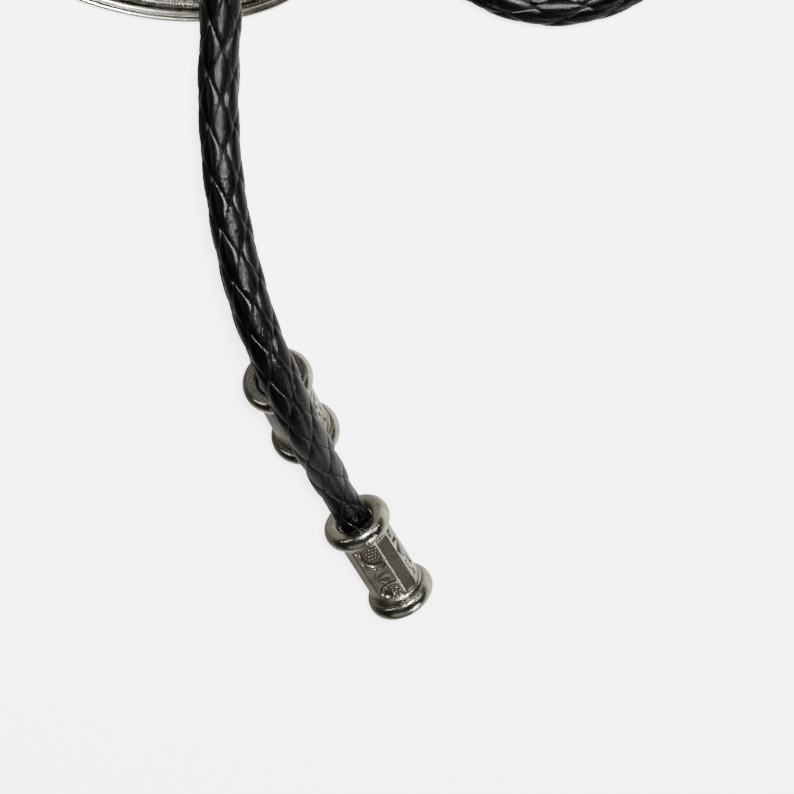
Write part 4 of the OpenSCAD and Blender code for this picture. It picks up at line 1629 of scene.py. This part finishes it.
# ------------------------------------------------------------------------------------------
# Studio
# ------------------------------------------------------------------------------------------
@dataclass(frozen=True)
class Lamp:
    """One soft light: its table point in millimetres, its size in metres and its power."""

    name: str
    at: Triple
    size: tuple[float, float]
    watts: float


LAMPS = (
    Lamp("key_light", (40, 290, 560), (0.06, 0.06), 12.0),
    Lamp("left_box", (-660, 260, 420), (0.3, 0.2), 0.6),
    Lamp("right_box", (560, 300, 520), (0.25, 0.2), 0.9),
    Lamp("near_box", (500, -480, 330), (0.22, 0.16), 1.9),
    Lamp("near_fill", (0, -650, 440), (0.6, 0.4), 0.35),
    Lamp("far_fill", (-80, 700, 260), (0.7, 0.25), 0.6),
)


@dataclass
class Studio:
    """Pale table, soft lights and the camera."""

    tilt: float = VIEW_TILT
    distance: float = 400.0
    field_w: float = 113.43
    sensor: float = 36.0
    dim: float = 0.022
    aim: Triple = (-10.0, 10.0, 0.0)
    table_half: float = 2.5
    table_drop: float = 0.00002

    def camera(self) -> None:
        """Stands the camera over the table, leaning back past the keeper."""
        data = bpy.data.cameras.new("table_camera")
        data.sensor_width = self.sensor
        data.lens = self.sensor * self.distance / self.field_w
        data.clip_start, data.clip_end = 0.01, 10.0
        eye = bpy.data.objects.new("table_camera", data)
        tilt = math.radians(self.tilt)
        away = np.array([0.0, math.sin(tilt), math.cos(tilt)]) * self.distance
        eye.location = to_row(away)
        eye.rotation_euler = (-tilt, 0.0, 0.0)
        bpy.context.scene.collection.objects.link(eye)
        bpy.context.scene.camera = eye

    def table(self) -> None:
        """Lays the pale table."""
        mesh = bpy.data.meshes.new("pale_table")
        half = self.table_half
        mesh.from_pydata(
            [(-half, -half, 0), (half, -half, 0), (half, half, 0), (-half, half, 0)],
            [],
            [(0, 1, 2, 3)],
        )
        mesh.materials.append(PaleTable().material())
        floor = bpy.data.objects.new("pale_table", mesh)
        floor.location = (0, 0, -self.table_drop)
        floor.visible_glossy = False
        floor.visible_diffuse = False
        bpy.context.scene.collection.objects.link(floor)

    def light(self, lamp: Lamp) -> None:
        """Hangs a soft light that faces the middle of the view.

        Args:
            lamp: The light to hang.
        """
        data = bpy.data.lights.new(lamp.name, "AREA")
        data.shape = "RECTANGLE"
        data.size, data.size_y = lamp.size
        data.energy = lamp.watts
        hung = bpy.data.objects.new(lamp.name, data)
        place = to_row(np.array(lamp.at))
        hung.location = place
        aim = to_row(np.array(self.aim)) - place
        hung.rotation_euler = Vector(aim).to_track_quat("-Z", "Y").to_euler()
        bpy.context.scene.collection.objects.link(hung)

    def room(self, tree: bpy.types.NodeTree) -> None:
        """Makes a dim room whose lower half glows softly, most of all on the right.

        Args:
            tree: The world's nodes.
        """
        ground = tree.nodes["Background"]
        where = tree.nodes.new("ShaderNodeTexCoord")
        axes = tree.nodes.new("ShaderNodeSeparateXYZ")
        tree.links.new(where.outputs["Generated"], axes.inputs[0])
        low = tree.nodes.new("ShaderNodeMapRange")
        tree.links.new(axes.outputs["Z"], low.inputs["Value"])
        side = tree.nodes.new("ShaderNodeMapRange")
        tree.links.new(axes.outputs["X"], side.inputs["Value"])
        for made, values in ((low, (0.1, -0.35, 0.0, 1.0)), (side, (-0.7, 0.7, 0.22, 1.7))):
            for key, value in zip(("From Min", "From Max", "To Min", "To Max"), values):
                made.inputs[key].default_value = value
        glow = tree.nodes.new("ShaderNodeMath")
        glow.operation = "MULTIPLY_ADD"
        tree.links.new(low.outputs[0], glow.inputs[0])
        tree.links.new(side.outputs[0], glow.inputs[1])
        glow.inputs[2].default_value = self.dim
        ground.inputs["Color"].default_value = (1.0, 0.97, 0.92, 1)
        tree.links.new(glow.outputs[0], ground.inputs["Strength"])

    def build(self) -> None:
        """Sets up the whole studio."""
        world = bpy.data.worlds.new("soft_room")
        bpy.context.scene.world = world
        world.use_nodes = True
        self.room(world.node_tree)
        for lamp in LAMPS:
            self.light(lamp)
        self.table()


def main() -> None:
    """Builds the keychain in order."""
    logging.basicConfig(level=logging.INFO, format="%(message)s")
    Studio().camera()
    finishes = FinishSet.mixed()
    BraidedCord(CordLine()).build(finishes)
    SpoolTip("front_spool_tip", "front_tip", FRONT_TIP).build(finishes)
    SpoolTip("rear_spool_tip", "rear_tip", REAR_TIP).build(finishes)
    Medallion().build(finishes)
    KeeperFace().build(finishes)
    for finish, nodes in (
        (finishes.cast, CAST_NODES),
        (finishes.nickel, NICKEL_NODES),
        (finishes.steel, STEEL_NODES),
        (finishes.rubber, RUBBER_NODES),
    ):
        for node in nodes:
            dress(node, finish)
    Studio().build()


if __name__ == "__main__":
    main()
